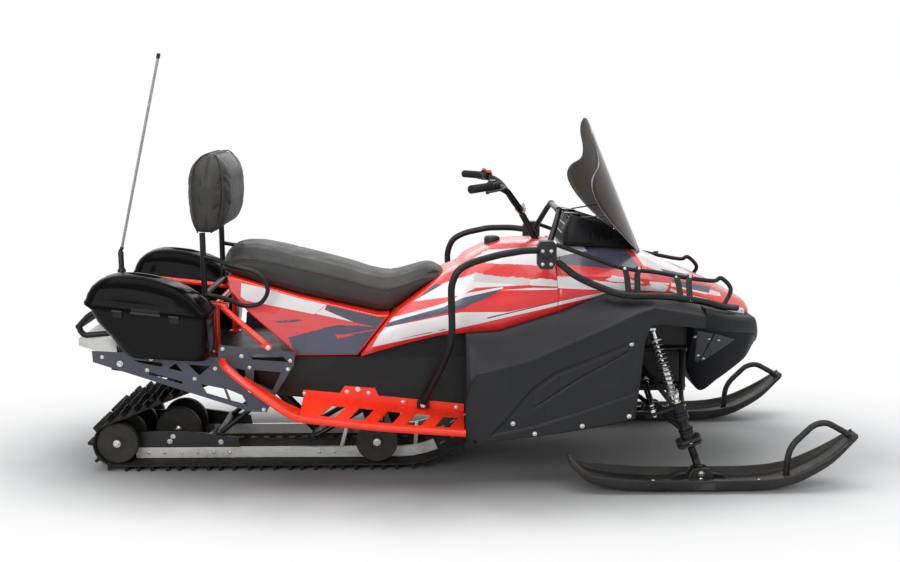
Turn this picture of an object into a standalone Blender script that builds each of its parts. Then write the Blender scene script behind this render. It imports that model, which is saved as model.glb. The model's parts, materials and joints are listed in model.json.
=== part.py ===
"""A utility snowmobile: skid frame and track, tunnel, bodywork, rear cases, skis and steering.

Metres. X points forwards, Y to the left and Z up. The origin is on the ground, under the middle
of the whole machine. Side views are given as (x, z) points and cross-sections as (y, z) points.
"""

import math

import bmesh
import bpy
from mathutils import Matrix, Vector

# Driving sizes
GAP = 0.0003  # between pieces that touch
BELT_FACET = 0.0005  # how far the belt's flat facets come inside its circles
HALF_LENGTH = 1.585
SIDES = 8  # facets round a frame tube

# Undercarriage
TRACK_WIDTH = 0.508
TRACK_PITCH = 0.057
BELT = 0.008
LUG_HEIGHT = 0.022
LUG_LENGTH = 0.018
WHEEL_RADIUS = 0.088
WHEEL_WIDTH = 0.030
WHEEL_OUTER_FACE = 0.235
AXLE_RADIUS = 0.011
REAR_WHEEL_X = -1.430
BOGIE_X = -0.342
UPPER_WHEEL_X = -1.210
UPPER_WHEEL_RADIUS = 0.098
RAIL_BEND_X = -0.250
RAIL_BEND_RADIUS = 0.420
RAIL_Y = 0.162
RAIL_THICKNESS = 0.012
RAIL_HEIGHT = 0.045
DRIVE_CENTRE = (0.200, 0.310)
DRIVE_RADIUS = 0.080
CARRIER_CENTRE = (-0.850, 0.385)
CARRIER_RADIUS = 0.055
BELT_INNER_Z = LUG_HEIGHT + BELT

# Tunnel and boards
TUNNEL_HALF_WIDTH = 0.285
TUNNEL_SHEET = 0.003
TUNNEL_TOP = 0.500
TUNNEL_REAR_X = -1.420
TUNNEL_FRONT_X = 0.360
TAIL_PLATE_Y = 0.328
TAIL_PLATE_THICKNESS = 0.005
BOARD_TUBE_RADIUS = 0.015
BOARD_TUBE_Y = 0.450
BOARD_SHEET = 0.004

# Bodywork
DECK = [(-0.409, 0.510), (-0.239, 0.560), (-0.076, 0.600), (0.166, 0.620), (0.408, 0.698),
        (0.589, 0.767), (0.736, 0.765), (0.900, 0.747), (1.087, 0.684), (1.245, 0.640)]
SEAT_BASE = [(-0.985, 0.842), (-0.653, 0.742), (-0.332, 0.665), (-0.279, 0.665), (-0.054, 0.824)]
PAINT_HALF_WIDTH = 0.330
SHROUD_HALF_WIDTH = 0.290
PANEL_SPLIT_X = 0.400
HOOD_WALL = 0.005
CAP_X = 0.150
CAP_RADIUS = 0.034
CAP_SEAT_Z = 0.926
CAP_TOP_Z = 0.962
COVER_REAR_X = 0.0265
COVER_FRONT_X = 0.975
COVER_WALL = 0.012
BULKHEAD_HALF_WIDTH = 0.160
BULKHEAD_REAR_X = 0.680
BULKHEAD_FRONT_X = 0.970
BULKHEAD_BASE_Z = 0.315
SHOCK_TOWER_Z = 0.630

# Windshield
SCREEN_FOOT = (0.787, 0.889)
SCREEN_SLOPE = -0.421
SCREEN_BEND_RADIUS = 0.575
SCREEN_THICKNESS = 0.004

# Steering and front suspension
COLUMN_TOP = Vector((0.285, 0.0, 1.043))
COLUMN_LEAN = math.radians(28.8)
COLUMN_RADIUS = 0.014
BAR_RADIUS = 0.011
KINGPIN_Y = 0.463
KINGPIN_FOOT = Vector((0.955, 0.0, 0.096))
KINGPIN_LEAN = math.radians(19.6)
SPINDLE_RADIUS = 0.016
ARM_EYE_RADIUS = 0.030
ARM_EYE_LENGTH = 0.030
LOWER_EYE_AT = 0.140
UPPER_EYE_AT = 0.215
STEER_ARM_AT = 0.252
STEER_ARM_THICKNESS = 0.012
STEER_ARM_LENGTH = 0.100
ROD_END_GAP = 0.001
RACK_X = 0.790
RACK_Z = 0.385
RACK_RADIUS = 0.012
ARM_TUBE_RADIUS = 0.013
LOWER_PIVOT_Z = 0.340
UPPER_PIVOT_Z = 0.500

# Skis
SKI_HALF_WIDTH = 0.0875
SKI_EAR_THICKNESS = 0.012
SKI_LOOP_RADIUS = 0.013

# Rear rack, cases and backrest
FRAME_TUBE = 0.012
RACK_Y = 0.200
RACK_RAIL_FRONT = (-0.950, 0.700)
RACK_RAIL_REAR = (-1.440, 0.755)
RACK_LEG_X = -1.350
CASE_INNER_Y = 0.240
CASE_OUTER_Y = 0.460
CASE_WALL = 0.004
CASE_HINGE_OFFSET = 0.006
CASE_HINGE_RADIUS = 0.005
BACKREST_X = -1.046
BACKREST_PAD_BASE_Z = 1.002
GUARD_TUBE = 0.014
GUARD_BRACKET_X = (0.310, 0.390)
GUARD_BRACKET_Y = (PAINT_HALF_WIDTH - 0.020, PAINT_HALF_WIDTH + 0.020)
GUARD_BRACKET_Z = (0.870, 0.985)

# Paint and materials: colour, roughness, metallic
LOOKS = {
    "black_plastic": ((0.03, 0.03, 0.035), 0.55, 0.0),
    "gloss_black": ((0.01, 0.01, 0.012), 0.08, 0.0),
    "black_frame": ((0.02, 0.02, 0.02), 0.40, 0.3),
    "red_frame": ((0.85, 0.07, 0.03), 0.35, 0.1),
    "slate_plate": ((0.12, 0.13, 0.15), 0.50, 0.4),
    "painted_body": ((0.75, 0.12, 0.12), 0.30, 0.0),
    "vinyl": ((0.03, 0.03, 0.03), 0.65, 0.0),
    "rubber": ((0.02, 0.02, 0.02), 0.80, 0.0),
    "aluminium": ((0.70, 0.68, 0.62), 0.35, 0.9),
    "silver_plate": ((0.75, 0.75, 0.75), 0.40, 0.8),
    "steel": ((0.55, 0.55, 0.57), 0.35, 0.9),
    "chrome": ((0.80, 0.80, 0.82), 0.12, 1.0),
    "smoked_glass": ((0.20, 0.17, 0.14), 0.10, 0.0),
    "lamp": ((0.90, 0.90, 0.88), 0.15, 0.0),
    "red_lamp": ((0.55, 0.02, 0.02), 0.20, 0.0),
}


def clear_scene():
    for thing in list(bpy.data.objects):
        bpy.data.objects.remove(thing, do_unlink=True)


def value_at(line, x):
    """Height of a polyline of (x, z) points at x, held level past its ends."""
    if x <= line[0][0]:
        return line[0][1]
    for (x0, z0), (x1, z1) in zip(line, line[1:]):
        if x <= x1:
            return z0 + (z1 - z0) * (x - x0) / (x1 - x0)
    return line[-1][1]


def raised(line, height):
    return [(x, z + height) for x, z in line]


def between(line, low, high):
    """The polyline's stretch from x = low to x = high, with its end points worked out."""
    inside = [(x, z) for x, z in line if low < x < high]
    return [(low, value_at(line, low))] + inside + [(high, value_at(line, high))]


def solid(points, faces):
    """A helper object from points and faces, with its faces turned outwards."""
    shape = bmesh.new()
    corners = [shape.verts.new(point) for point in points]
    for face in faces:
        shape.faces.new([corners[index] for index in face])
    bmesh.ops.recalc_face_normals(shape, faces=shape.faces)
    bmesh.ops.triangulate(shape, faces=shape.faces, quad_method="SHORT_EDGE")
    mesh = bpy.data.meshes.new("shape")
    shape.to_mesh(mesh)
    shape.free()
    made = bpy.data.objects.new("shape", mesh)
    bpy.context.scene.collection.objects.link(made)
    return made


def loft(rings, closed=False):
    """Rings with the same number of points, joined in order; closed joins the last to the first."""
    count = len(rings[0])
    points = [point for ring in rings for point in ring]
    faces = []
    last = len(rings) if closed else len(rings) - 1
    for row in range(last):
        here = row * count
        there = ((row + 1) % len(rings)) * count
        for index in range(count):
            after = (index + 1) % count
            faces.append((here + index, here + after, there + after, there + index))
    if not closed:
        faces.append(tuple(range(count)))
        faces.append(tuple(range(len(points) - count, len(points))))
    return solid(points, faces)


def prism(outline, low, high):
    """A side view (x, z) drawn out along Y."""
    return loft([[(x, y, z) for x, z in outline] for y in (low, high)])


def plan(outline, low, high):
    """A plan view (x, y) drawn out along Z."""
    return loft([[(x, y, z) for x, y in outline] for z in (low, high)])


def box(x_range, y_range, z_range):
    corners = [(x_range[0], z_range[0]), (x_range[1], z_range[0]),
               (x_range[1], z_range[1]), (x_range[0], z_range[1])]
    return prism(corners, min(y_range), max(y_range))


def across(axis):
    """Two unit vectors square to an axis and to each other."""
    axis = Vector(axis).normalized()
    guide = Vector((0, 1, 0)) if abs(axis.y) < 0.9 else Vector((1, 0, 0))
    first = guide.cross(axis).normalized()
    return first, axis.cross(first).normalized()


def circle(centre, axis, radius, sides):
    first, second = across(axis)
    turns = [2 * math.pi * index / sides for index in range(sides)]
    return [Vector(centre) + radius * (math.cos(turn) * first + math.sin(turn) * second)
            for turn in turns]


def turned(profile, centre, axis, sides, closed=False):
    """(radius, distance along the axis) points turned about an axis."""
    axis = Vector(axis).normalized()
    rings = [circle(Vector(centre) + along * axis, axis, radius, sides)
             for radius, along in profile]
    return loft(rings, closed)


def rod(start, end, radius, sides=SIDES):
    axis = Vector(end) - Vector(start)
    return turned([(radius, 0), (radius, axis.length)], start, axis, sides)


def sleeve(centre, axis, inner, outer, length, sides=16):
    half = length / 2
    profile = [(inner, -half), (outer, -half), (outer, half), (inner, half)]
    return turned(profile, centre, axis, sides, closed=True)


def eased(path, radius, steps=2):
    """A path whose inner corners are rounded by arcs of about the given radius."""
    points = [Vector(point) for point in path]
    result = [points[0]]
    for before, corner, after in zip(points, points[1:], points[2:]):
        back = before - corner
        ahead = after - corner
        reach = min(radius, 0.45 * back.length, 0.45 * ahead.length)
        start = corner + reach * back.normalized()
        end = corner + reach * ahead.normalized()
        for step in range(steps + 1):
            share = step / steps
            result.append((1 - share) ** 2 * start + 2 * share * (1 - share) * corner
                          + share ** 2 * end)
    result.append(points[-1])
    return result


def tube(path, radius, sides=SIDES):
    """A round bar along a path, with flat ends."""
    points = [Vector(point) for point in path]
    tangents = []
    for index in range(len(points)):
        ahead = points[min(index + 1, len(points) - 1)]
        behind = points[max(index - 1, 0)]
        tangents.append((ahead - behind).normalized())
    first, _ = across(tangents[0])
    rings = []
    for point, tangent in zip(points, tangents):
        first = (first - first.dot(tangent) * tangent).normalized()
        second = tangent.cross(first)
        rings.append([point + radius * (math.cos(turn) * first + math.sin(turn) * second)
                      for turn in [2 * math.pi * n / sides for n in range(sides)]])
    return loft(rings)


def combine(base, tools, operation):
    """The base with each tool joined, cut or intersected by a Boolean, applied to its mesh."""
    for tool in tools:
        modifier = base.modifiers.new(operation, "BOOLEAN")
        modifier.operation = operation
        modifier.object = tool
    graph = bpy.context.evaluated_depsgraph_get()
    mesh = bpy.data.meshes.new_from_object(base.evaluated_get(graph))
    base.modifiers.clear()
    base.data = mesh
    for tool in tools:
        bpy.data.objects.remove(tool, do_unlink=True)
    return base


def join(pieces):
    return combine(pieces[0], pieces[1:], "UNION")


def cut(base, tools):
    return combine(base, tools, "DIFFERENCE")


def look(name):
    made = bpy.data.materials.get(name)
    if made:
        return made
    colour, roughness, metallic = LOOKS[name]
    made = bpy.data.materials.new(name)
    made.use_nodes = True
    shader = made.node_tree.nodes["Principled BSDF"]
    shader.inputs["Base Color"].default_value = (*colour, 1.0)
    shader.inputs["Roughness"].default_value = roughness
    shader.inputs["Metallic"].default_value = metallic
    made.diffuse_color = (*colour, 1.0)
    return made


def part(name, shape, finish, pivot=None):
    """Names a shape and gives it its material; a moving piece hangs from the empty at its pivot."""
    shape.name = name
    shape.data.name = name
    shape.data.materials.clear()
    shape.data.materials.append(look(finish))
    shape.data.shade_smooth()
    shape.data.set_sharp_from_angle(angle=math.radians(35))
    if pivot:
        shape.data.transform(Matrix.Translation(-pivot.location))
        shape.parent = pivot
    return shape


def pivot_at(name, place):
    empty = bpy.data.objects.new(name, None)
    bpy.context.scene.collection.objects.link(empty)
    empty.location = place
    return empty


def side_name(side):
    return "left" if side > 0 else "right"


# The track's loop: circles that the belt wraps, in order, with the radius of its inner face
def belt_circles():
    return [
        (REAR_WHEEL_X, BELT_INNER_Z + WHEEL_RADIUS, WHEEL_RADIUS),
        (RAIL_BEND_X, BELT_INNER_Z + RAIL_BEND_RADIUS, RAIL_BEND_RADIUS),
        (*DRIVE_CENTRE, DRIVE_RADIUS),
        (*CARRIER_CENTRE, CARRIER_RADIUS),
    ]


def belt_pieces():
    """Straight runs and arcs of the belt's inner face, as (kind, data, length), going round."""
    circles = belt_circles()
    normals = []
    for index, (x0, z0, r0) in enumerate(circles):
        x1, z1, r1 = circles[(index + 1) % len(circles)]
        span = math.hypot(x1 - x0, z1 - z0)
        heading = math.atan2(z1 - z0, x1 - x0)
        normals.append(heading - math.pi / 2 + math.asin((r0 - r1) / span))
    pieces = []
    for index, (x0, z0, r0) in enumerate(circles):
        x1, z1, r1 = circles[(index + 1) % len(circles)]
        angle = normals[index]
        start = (x0 + r0 * math.cos(angle), z0 + r0 * math.sin(angle))
        end = (x1 + r1 * math.cos(angle), z1 + r1 * math.sin(angle))
        pieces.append(("run", (start, end, angle), math.dist(start, end)))
        turn = (normals[(index + 1) % len(circles)] - angle) % (2 * math.pi)
        pieces.append(("arc", (x1, z1, r1, angle, turn), r1 * turn))
    return pieces


def belt_point(pieces, distance, height):
    """The point at a distance round the loop, at a height outside the belt's inner face."""
    distance %= sum(length for _, _, length in pieces)
    for kind, data, length in pieces:
        if distance <= length:
            break
        distance -= length
    if kind == "run":
        start, end, angle = data
        share = distance / length
        x = start[0] + share * (end[0] - start[0])
        z = start[1] + share * (end[1] - start[1])
        return x + height * math.cos(angle), z + height * math.sin(angle)
    x, z, radius, angle, turn = data
    angle += turn * distance / length
    return x + (radius + height) * math.cos(angle), z + (radius + height) * math.sin(angle)


def make_track():
    pieces = belt_pieces()
    length = sum(piece[2] for piece in pieces)
    rows = round(length / TRACK_PITCH)
    pitch = length / rows
    outer, inner = [], []
    for row in range(rows):
        start = row * pitch
        profile = [(0.0, BELT), (0.003, BELT + LUG_HEIGHT),
                   (LUG_LENGTH - 0.003, BELT + LUG_HEIGHT), (LUG_LENGTH, BELT)]
        for along, height in profile:
            outer.append(belt_point(pieces, start + along, height))
        for share in (0.0, 0.25, 0.5, 0.75):
            inner.append(belt_point(pieces, start + share * pitch, 0.0))
    half = TRACK_WIDTH / 2
    rings = [[(x, half, z) for x, z in outer], [(x, half, z) for x, z in inner],
             [(x, -half, z) for x, z in inner], [(x, -half, z) for x, z in outer]]
    part("track", loft(rings, closed=True), "rubber")


def wheel_set(name, x, z, radius, outer_faces, axle_half, finish="rubber"):
    """An axle along Y with a wheel on each side for each outer face, turned in one piece."""
    profile = [(AXLE_RADIUS, -axle_half)]
    middles = sorted(side * (face - WHEEL_WIDTH / 2) for face in outer_faces for side in (-1, 1))
    for middle in middles:
        low = middle - WHEEL_WIDTH / 2
        high = middle + WHEEL_WIDTH / 2
        profile += [(AXLE_RADIUS, low), (radius - 0.004, low), (radius, low + 0.004),
                    (radius, high - 0.004), (radius - 0.004, high), (AXLE_RADIUS, high)]
    profile.append((AXLE_RADIUS, axle_half))
    part(name, turned(profile, (x, 0, z), (0, 1, 0), 16), finish)


def make_wheels():
    wheel_z = BELT_INNER_Z + WHEEL_RADIUS
    wheel_set("rear_wheels", REAR_WHEEL_X, wheel_z, WHEEL_RADIUS - BELT_FACET - GAP,
              (WHEEL_OUTER_FACE, 0.100), WHEEL_OUTER_FACE + 0.006)
    wheel_set("bogie_wheels", BOGIE_X, wheel_z, WHEEL_RADIUS - GAP,
              (WHEEL_OUTER_FACE,), WHEEL_OUTER_FACE + 0.006)
    wheel_set("upper_wheels", UPPER_WHEEL_X, BELT_INNER_Z + UPPER_WHEEL_RADIUS + GAP,
              UPPER_WHEEL_RADIUS, (0.080,), RAIL_Y + RAIL_THICKNESS)
    wheel_set("carrier_wheels", CARRIER_CENTRE[0], CARRIER_CENTRE[1],
              CARRIER_RADIUS - BELT_FACET - GAP,
              (0.140,), TUNNEL_HALF_WIDTH - TUNNEL_SHEET - GAP)
    wheel_set("drive_axle", DRIVE_CENTRE[0], DRIVE_CENTRE[1], DRIVE_RADIUS - BELT_FACET - GAP,
              (0.110, 0.190), TUNNEL_HALF_WIDTH - TUNNEL_SHEET - GAP, "black_plastic")


def make_skid_frame():
    """Two aluminium slide rails with their axle plates, tied by cross tubes."""
    centre_z = BELT_INNER_Z + RAIL_BEND_RADIUS
    low, high = [], []
    for degrees in (0, 8, 16, 23):
        turn = math.radians(degrees)
        for radius, line in ((RAIL_BEND_RADIUS - GAP, low),
                             (RAIL_BEND_RADIUS - GAP - RAIL_HEIGHT, high)):
            line.append((RAIL_BEND_X + radius * math.sin(turn),
                         centre_z - radius * math.cos(turn)))
    rear_x = REAR_WHEEL_X + 0.060
    wheel_z = BELT_INNER_Z + WHEEL_RADIUS
    rail_top = BELT_INNER_Z + GAP + RAIL_HEIGHT
    outline = [(rear_x, BELT_INNER_Z + GAP)] + low + high[::-1] + [
        (BOGIE_X + 0.045, rail_top), (BOGIE_X + 0.025, wheel_z + 0.018),
        (BOGIE_X - 0.025, wheel_z + 0.018), (BOGIE_X - 0.060, rail_top),
        (-0.930, rail_top), (-0.938, 0.118), (UPPER_WHEEL_X + 0.050, 0.150),
        (UPPER_WHEEL_X - 0.050, 0.150), (REAR_WHEEL_X - 0.020, wheel_z + 0.020),
        (REAR_WHEEL_X - 0.025, wheel_z - 0.020), (rear_x - 0.015, wheel_z - 0.020),
    ]
    rails = []
    for side in (-1, 1):
        near = side * (RAIL_Y - RAIL_THICKNESS / 2)
        far = side * (RAIL_Y + RAIL_THICKNESS / 2)
        rails.append(prism(outline, min(near, far), max(near, far)))
    ties = [rod((x, -RAIL_Y, z), (x, RAIL_Y, z), 0.010)
            for x, z in ((-1.100, 0.060), (-0.500, 0.056), (-0.180, 0.075))]
    frame = join([rails[0]] + ties + [rails[1]])
    upper_z = BELT_INNER_Z + UPPER_WHEEL_RADIUS + GAP
    holes = [rod((x, -0.3, z), (x, 0.3, z), AXLE_RADIUS + GAP, 16)
             for x, z in ((REAR_WHEEL_X, wheel_z), (BOGIE_X, wheel_z),
                          (UPPER_WHEEL_X, upper_z))]
    part("skid_frame", cut(frame, holes), "aluminium")


def make_skid_arms():
    """Swing arms and the damper between the skid frame and the chassis, as one welded group."""
    plate_reach = TAIL_PLATE_Y - GAP
    tunnel_reach = TUNNEL_HALF_WIDTH - TUNNEL_SHEET - GAP
    rail_reach = RAIL_Y - RAIL_THICKNESS / 2 - GAP
    rear_top = (-0.800, 0.300)
    rear_low = (-1.020, 0.125)
    front_top = (-0.220, 0.335)
    front_low = (-0.620, 0.105)
    cross = [(rear_top, plate_reach), (rear_low, rail_reach),
             (front_top, tunnel_reach), (front_low, rail_reach)]
    pieces = [rod((x, -reach, z), (x, reach, z), 0.014) for (x, z), reach in cross]
    for side in (-1, 1):
        for (x0, z0), (x1, z1), y in ((rear_top, rear_low, 0.125), (front_top, front_low, 0.125)):
            pieces.append(rod((x0, side * y, z0), (x1, side * y, z1), 0.011, 8))
    pieces.append(rod((rear_top[0], 0, rear_top[1]), (front_low[0], 0, front_low[1]), 0.022, 12))
    part("skid_arms", join(pieces), "black_frame")


def make_tunnel():
    side_view = [(TUNNEL_REAR_X, 0.450), (TUNNEL_REAR_X, TUNNEL_TOP), (TUNNEL_FRONT_X, TUNNEL_TOP),
                 (TUNNEL_FRONT_X, 0.240), (0.0, 0.270), (-0.700, 0.335)]
    under = [(TUNNEL_REAR_X - 0.1, 0.1), (TUNNEL_REAR_X - 0.1, TUNNEL_TOP - TUNNEL_SHEET),
             (TUNNEL_FRONT_X + 0.1, TUNNEL_TOP - TUNNEL_SHEET), (TUNNEL_FRONT_X + 0.1, 0.1)]
    inner = TUNNEL_HALF_WIDTH - TUNNEL_SHEET
    shell = cut(prism(side_view, -TUNNEL_HALF_WIDTH, TUNNEL_HALF_WIDTH),
                [prism(under, -inner, inner)])
    part("tunnel", shell, "black_frame")


TAIL_PLATE = [(-1.480, 0.541), (-0.974, 0.511), (-0.969, 0.563), (-0.664, 0.530), (-0.669, 0.478),
              (-0.742, 0.363), (-0.785, 0.281), (-0.853, 0.284), (-1.478, 0.495)]
TAIL_WINDOWS = [
    [(-1.314, 0.503), (-1.201, 0.491), (-1.197, 0.479), (-1.211, 0.474), (-1.298, 0.494)],
    [(-1.177, 0.467), (-1.146, 0.488), (-1.118, 0.453)],
    [(-1.095, 0.483), (-1.006, 0.476), (-1.053, 0.437)],
    [(-1.254, 0.453), (-1.120, 0.411), (-1.124, 0.402), (-1.255, 0.441)],
    [(-1.048, 0.401), (-0.956, 0.381), (-0.941, 0.335), (-1.026, 0.362)],
    [(-0.947, 0.381), (-0.883, 0.354), (-0.860, 0.311), (-0.929, 0.331)],
    [(-0.853, 0.531), (-0.713, 0.517), (-0.692, 0.490), (-0.836, 0.502)],
    [(-0.907, 0.468), (-0.868, 0.459), (-0.865, 0.423), (-0.891, 0.441)],
    [(-0.831, 0.459), (-0.722, 0.449), (-0.759, 0.372), (-0.835, 0.409)],
]
TAIL_SPACERS = [(-1.370, 0.488), (-0.846, 0.376)]


def make_tail_plate(side):
    """A laser-cut truss plate, held off the tunnel's side by two spacers."""
    near = side * TAIL_PLATE_Y
    far = side * (TAIL_PLATE_Y + TAIL_PLATE_THICKNESS)
    plate = prism(TAIL_PLATE, min(near, far), max(near, far))
    cuts = [prism(window, min(near, far) - 0.01, max(near, far) + 0.01) for window in TAIL_WINDOWS]
    plate = cut(plate, cuts)
    foot = side * (TUNNEL_HALF_WIDTH + GAP)
    spacers = [rod((x, foot, z), (x, side * (TAIL_PLATE_Y + 0.002), z), 0.009, 8)
               for x, z in TAIL_SPACERS]
    part("tail_plate_" + side_name(side), join([plate] + spacers), "slate_plate")


BOARD_INNER = [(-0.687, 0.336), (-0.329, 0.306), (0.024, 0.268)]
BOARD_TUBE = [(-0.643, 0.288), (-0.318, 0.249), (0.024, 0.224)]


def make_running_board(side):
    """The foot board: a sloped plate with slanted slots, an inner upstand and an outer tube."""
    inner_y = TUNNEL_HALF_WIDTH + GAP
    plate_y = TAIL_PLATE_Y + TAIL_PLATE_THICKNESS + GAP
    outer = [(BOARD_TUBE[2][0], BOARD_TUBE_Y, BOARD_TUBE[2][1]),
             (BOARD_TUBE[1][0], BOARD_TUBE_Y, BOARD_TUBE[1][1]),
             (BOARD_TUBE[0][0], BOARD_TUBE_Y, BOARD_TUBE[0][1]),
             (-0.700, 0.446, 0.318), (-0.870, 0.415, 0.436), (-0.935, 0.385, 0.485),
             (-0.955, plate_y + 0.018, 0.497), (-0.955, plate_y, 0.497)]
    bar = tube(eased([(x, side * y, z) for x, y, z in outer], 0.05), BOARD_TUBE_RADIUS, 12)
    rings = []
    hidden_y = inner_y + BOARD_SHEET / 2
    for x in (0.020, -0.320, -0.640):
        top_in = value_at(BOARD_INNER, x)
        top_out = value_at(BOARD_TUBE, x)
        rings.append([(x, side * hidden_y, top_in), (x, side * BOARD_TUBE_Y, top_out),
                      (x, side * BOARD_TUBE_Y, top_out - BOARD_SHEET),
                      (x, side * hidden_y, top_in - BOARD_SHEET)])
    plate = loft(rings)
    upstand_line = [(0.022, 0.298), (-0.310, 0.334), (-0.329, 0.334), (-0.345, 0.368),
                    (-0.468, 0.378), (-0.490, 0.348), (-0.640, 0.362)]
    base_line = [(x, value_at(BOARD_INNER, x) - 1.5 * BOARD_SHEET) for x in (-0.640, -0.320, 0.022)]
    near, far = side * inner_y, side * (inner_y + BOARD_SHEET)
    upstand = prism(upstand_line + base_line, min(near, far), max(near, far))
    ramp = loft([[(x, side * plate_y, z), (x, side * y, z), (x, side * y, z - BOARD_SHEET),
                  (x, side * plate_y, z - BOARD_SHEET)]
                 for x, y, z in ((-0.636, BOARD_TUBE_Y, 0.290), (-0.705, 0.444, 0.322),
                                 (-0.868, 0.415, 0.434))])
    slots = []
    for index in range(5):
        x = -0.560 + 0.115 * index
        slot = [(x, side * 0.415), (x + 0.060, side * 0.415),
                (x + 0.100, side * 0.335), (x + 0.040, side * 0.335)]
        slots.append(plan(slot, 0.15, 0.45))
    board = join([bar, cut(plate, slots), upstand, ramp])
    part("running_board_" + side_name(side), board, "red_frame")


def rack_z(x):
    return value_at([RACK_RAIL_REAR, RACK_RAIL_FRONT], x)


def make_rear_rack():
    """Two red rails on legs, with cross tubes and the braces down to the tail plates."""
    pieces = []
    for side in (-1, 1):
        y = side * RACK_Y
        pieces.append(rod((RACK_RAIL_REAR[0], y, RACK_RAIL_REAR[1]),
                          (RACK_RAIL_FRONT[0], y, RACK_RAIL_FRONT[1]), FRAME_TUBE))
        for x in (RACK_LEG_X, -1.000):
            pieces.append(rod((x, y, TUNNEL_TOP + GAP), (x, y, rack_z(x)), FRAME_TUBE))
        top = Vector((-0.985, side * 0.190, 0.700))
        elbow = Vector((-0.945, side * 0.270, 0.690))
        foot = Vector((-0.770, side * (TAIL_PLATE_Y + 0.002), 0.5545))
        pieces.append(tube(eased([top, elbow, foot], 0.03), FRAME_TUBE))
    for x in (RACK_RAIL_REAR[0], -1.000):
        pieces.append(rod((x, -RACK_Y, rack_z(x)), (x, RACK_Y, rack_z(x)), FRAME_TUBE))
    pieces.append(rod((RACK_LEG_X, -RACK_Y, 0.655), (RACK_LEG_X, RACK_Y, 0.655), FRAME_TUBE))
    part("rear_rack", join(pieces), "red_frame")


def make_rear_bumper():
    pieces = []
    rear_x = -HALF_LENGTH + FRAME_TUBE
    leg_face = RACK_LEG_X - FRAME_TUBE - GAP
    for side in (-1, 1):
        y = side * RACK_Y
        path = [(leg_face, y, 0.690), (leg_face - 0.040, y, 0.690), (rear_x + 0.058, y, 0.672),
                (rear_x, y, 0.612), (rear_x + 0.020, y, 0.575), (leg_face - 0.040, y, 0.588),
                (leg_face, y, 0.588)]
        pieces.append(tube(eased(path, 0.03), FRAME_TUBE))
    pieces.append(rod((rear_x, -RACK_Y, 0.612), (rear_x, RACK_Y, 0.612), FRAME_TUBE))
    part("rear_bumper", join(pieces), "black_frame")


def make_hitch_plate():
    top = 0.575 - FRAME_TUBE - GAP
    rear_x = -HALF_LENGTH + 0.010
    outline = [(rear_x, top), (rear_x, 0.532), (TUNNEL_REAR_X - GAP, 0.480),
               (TUNNEL_REAR_X - GAP, top)]
    part("hitch_plate", prism(outline, -RACK_Y, RACK_Y), "silver_plate")


def make_tail_light():
    face = RACK_LEG_X - FRAME_TUBE - GAP
    part("tail_light", box((face - 0.030, face), (-0.090, 0.090), (0.630, 0.680)), "red_lamp")


# Rear cases: plan outline shared by tub and lid, rim plane and side profiles
CASE_RIM = [(-1.452, 0.744), (-0.992, 0.692)]
CASE_BASE_X = (-1.318, -1.004)
LID_TOP = [(-1.472, 0.790), (-1.440, 0.836), (-1.351, 0.862), (-1.226, 0.850),
           (-1.090, 0.805), (-0.985, 0.720)]


def case_ring(x_low, x_high, y_low, y_high, height_at, corner=0.040):
    """A rounded rectangle in plan with its own height at each point."""
    points = []
    corners = [(x_high - corner, y_high - corner, 0), (x_low + corner, y_high - corner, 90),
               (x_low + corner, y_low + corner, 180), (x_high - corner, y_low + corner, 270)]
    for x, y, start in corners:
        for degrees in (0, 30, 60, 90):
            turn = math.radians(start + degrees)
            px = x + corner * math.cos(turn)
            points.append((px, y + corner * math.sin(turn), height_at(px)))
    return points


def bowl(outer_rings, inner_rings):
    """A thin-walled vessel: outer rings from rim to crown, then inner rings back to the rim."""
    rings = outer_rings + inner_rings[::-1]
    count = len(rings[0])
    points = [point for ring in rings for point in ring]
    crown = len(outer_rings) - 1
    faces = []
    for row in range(len(rings)):
        if row == crown:
            continue
        here = row * count
        there = ((row + 1) % len(rings)) * count
        for index in range(count):
            after = (index + 1) % count
            faces.append((here + index, here + after, there + after, there + index))
    for start in (crown * count, (crown + 1) * count):
        for index in range(count // 2 - 1):
            faces.append((start + index, start + index + 1,
                          start + count - 2 - index, start + count - 1 - index))
    return solid(points, faces)


def rim_z(x):
    (x0, z0), (x1, z1) = CASE_RIM
    return z0 + (z1 - z0) * (x - x0) / (x1 - x0)


def case_base_z(x):
    return value_at([TAIL_PLATE[0], TAIL_PLATE[1]], x) + 2 * GAP


def mirrored(ring, side):
    return [(x, side * y, z) for x, y, z in ring]


def case_hinge():
    """Middle point and direction of the lid's hinge line on the left side."""
    x0, z0 = CASE_RIM[0]
    x1, z1 = CASE_RIM[1]
    middle = Vector(((x0 + x1) / 2, CASE_OUTER_Y + CASE_HINGE_OFFSET, (z0 + z1) / 2))
    return middle, Vector((x1 - x0, 0, z1 - z0)).normalized()


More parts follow.
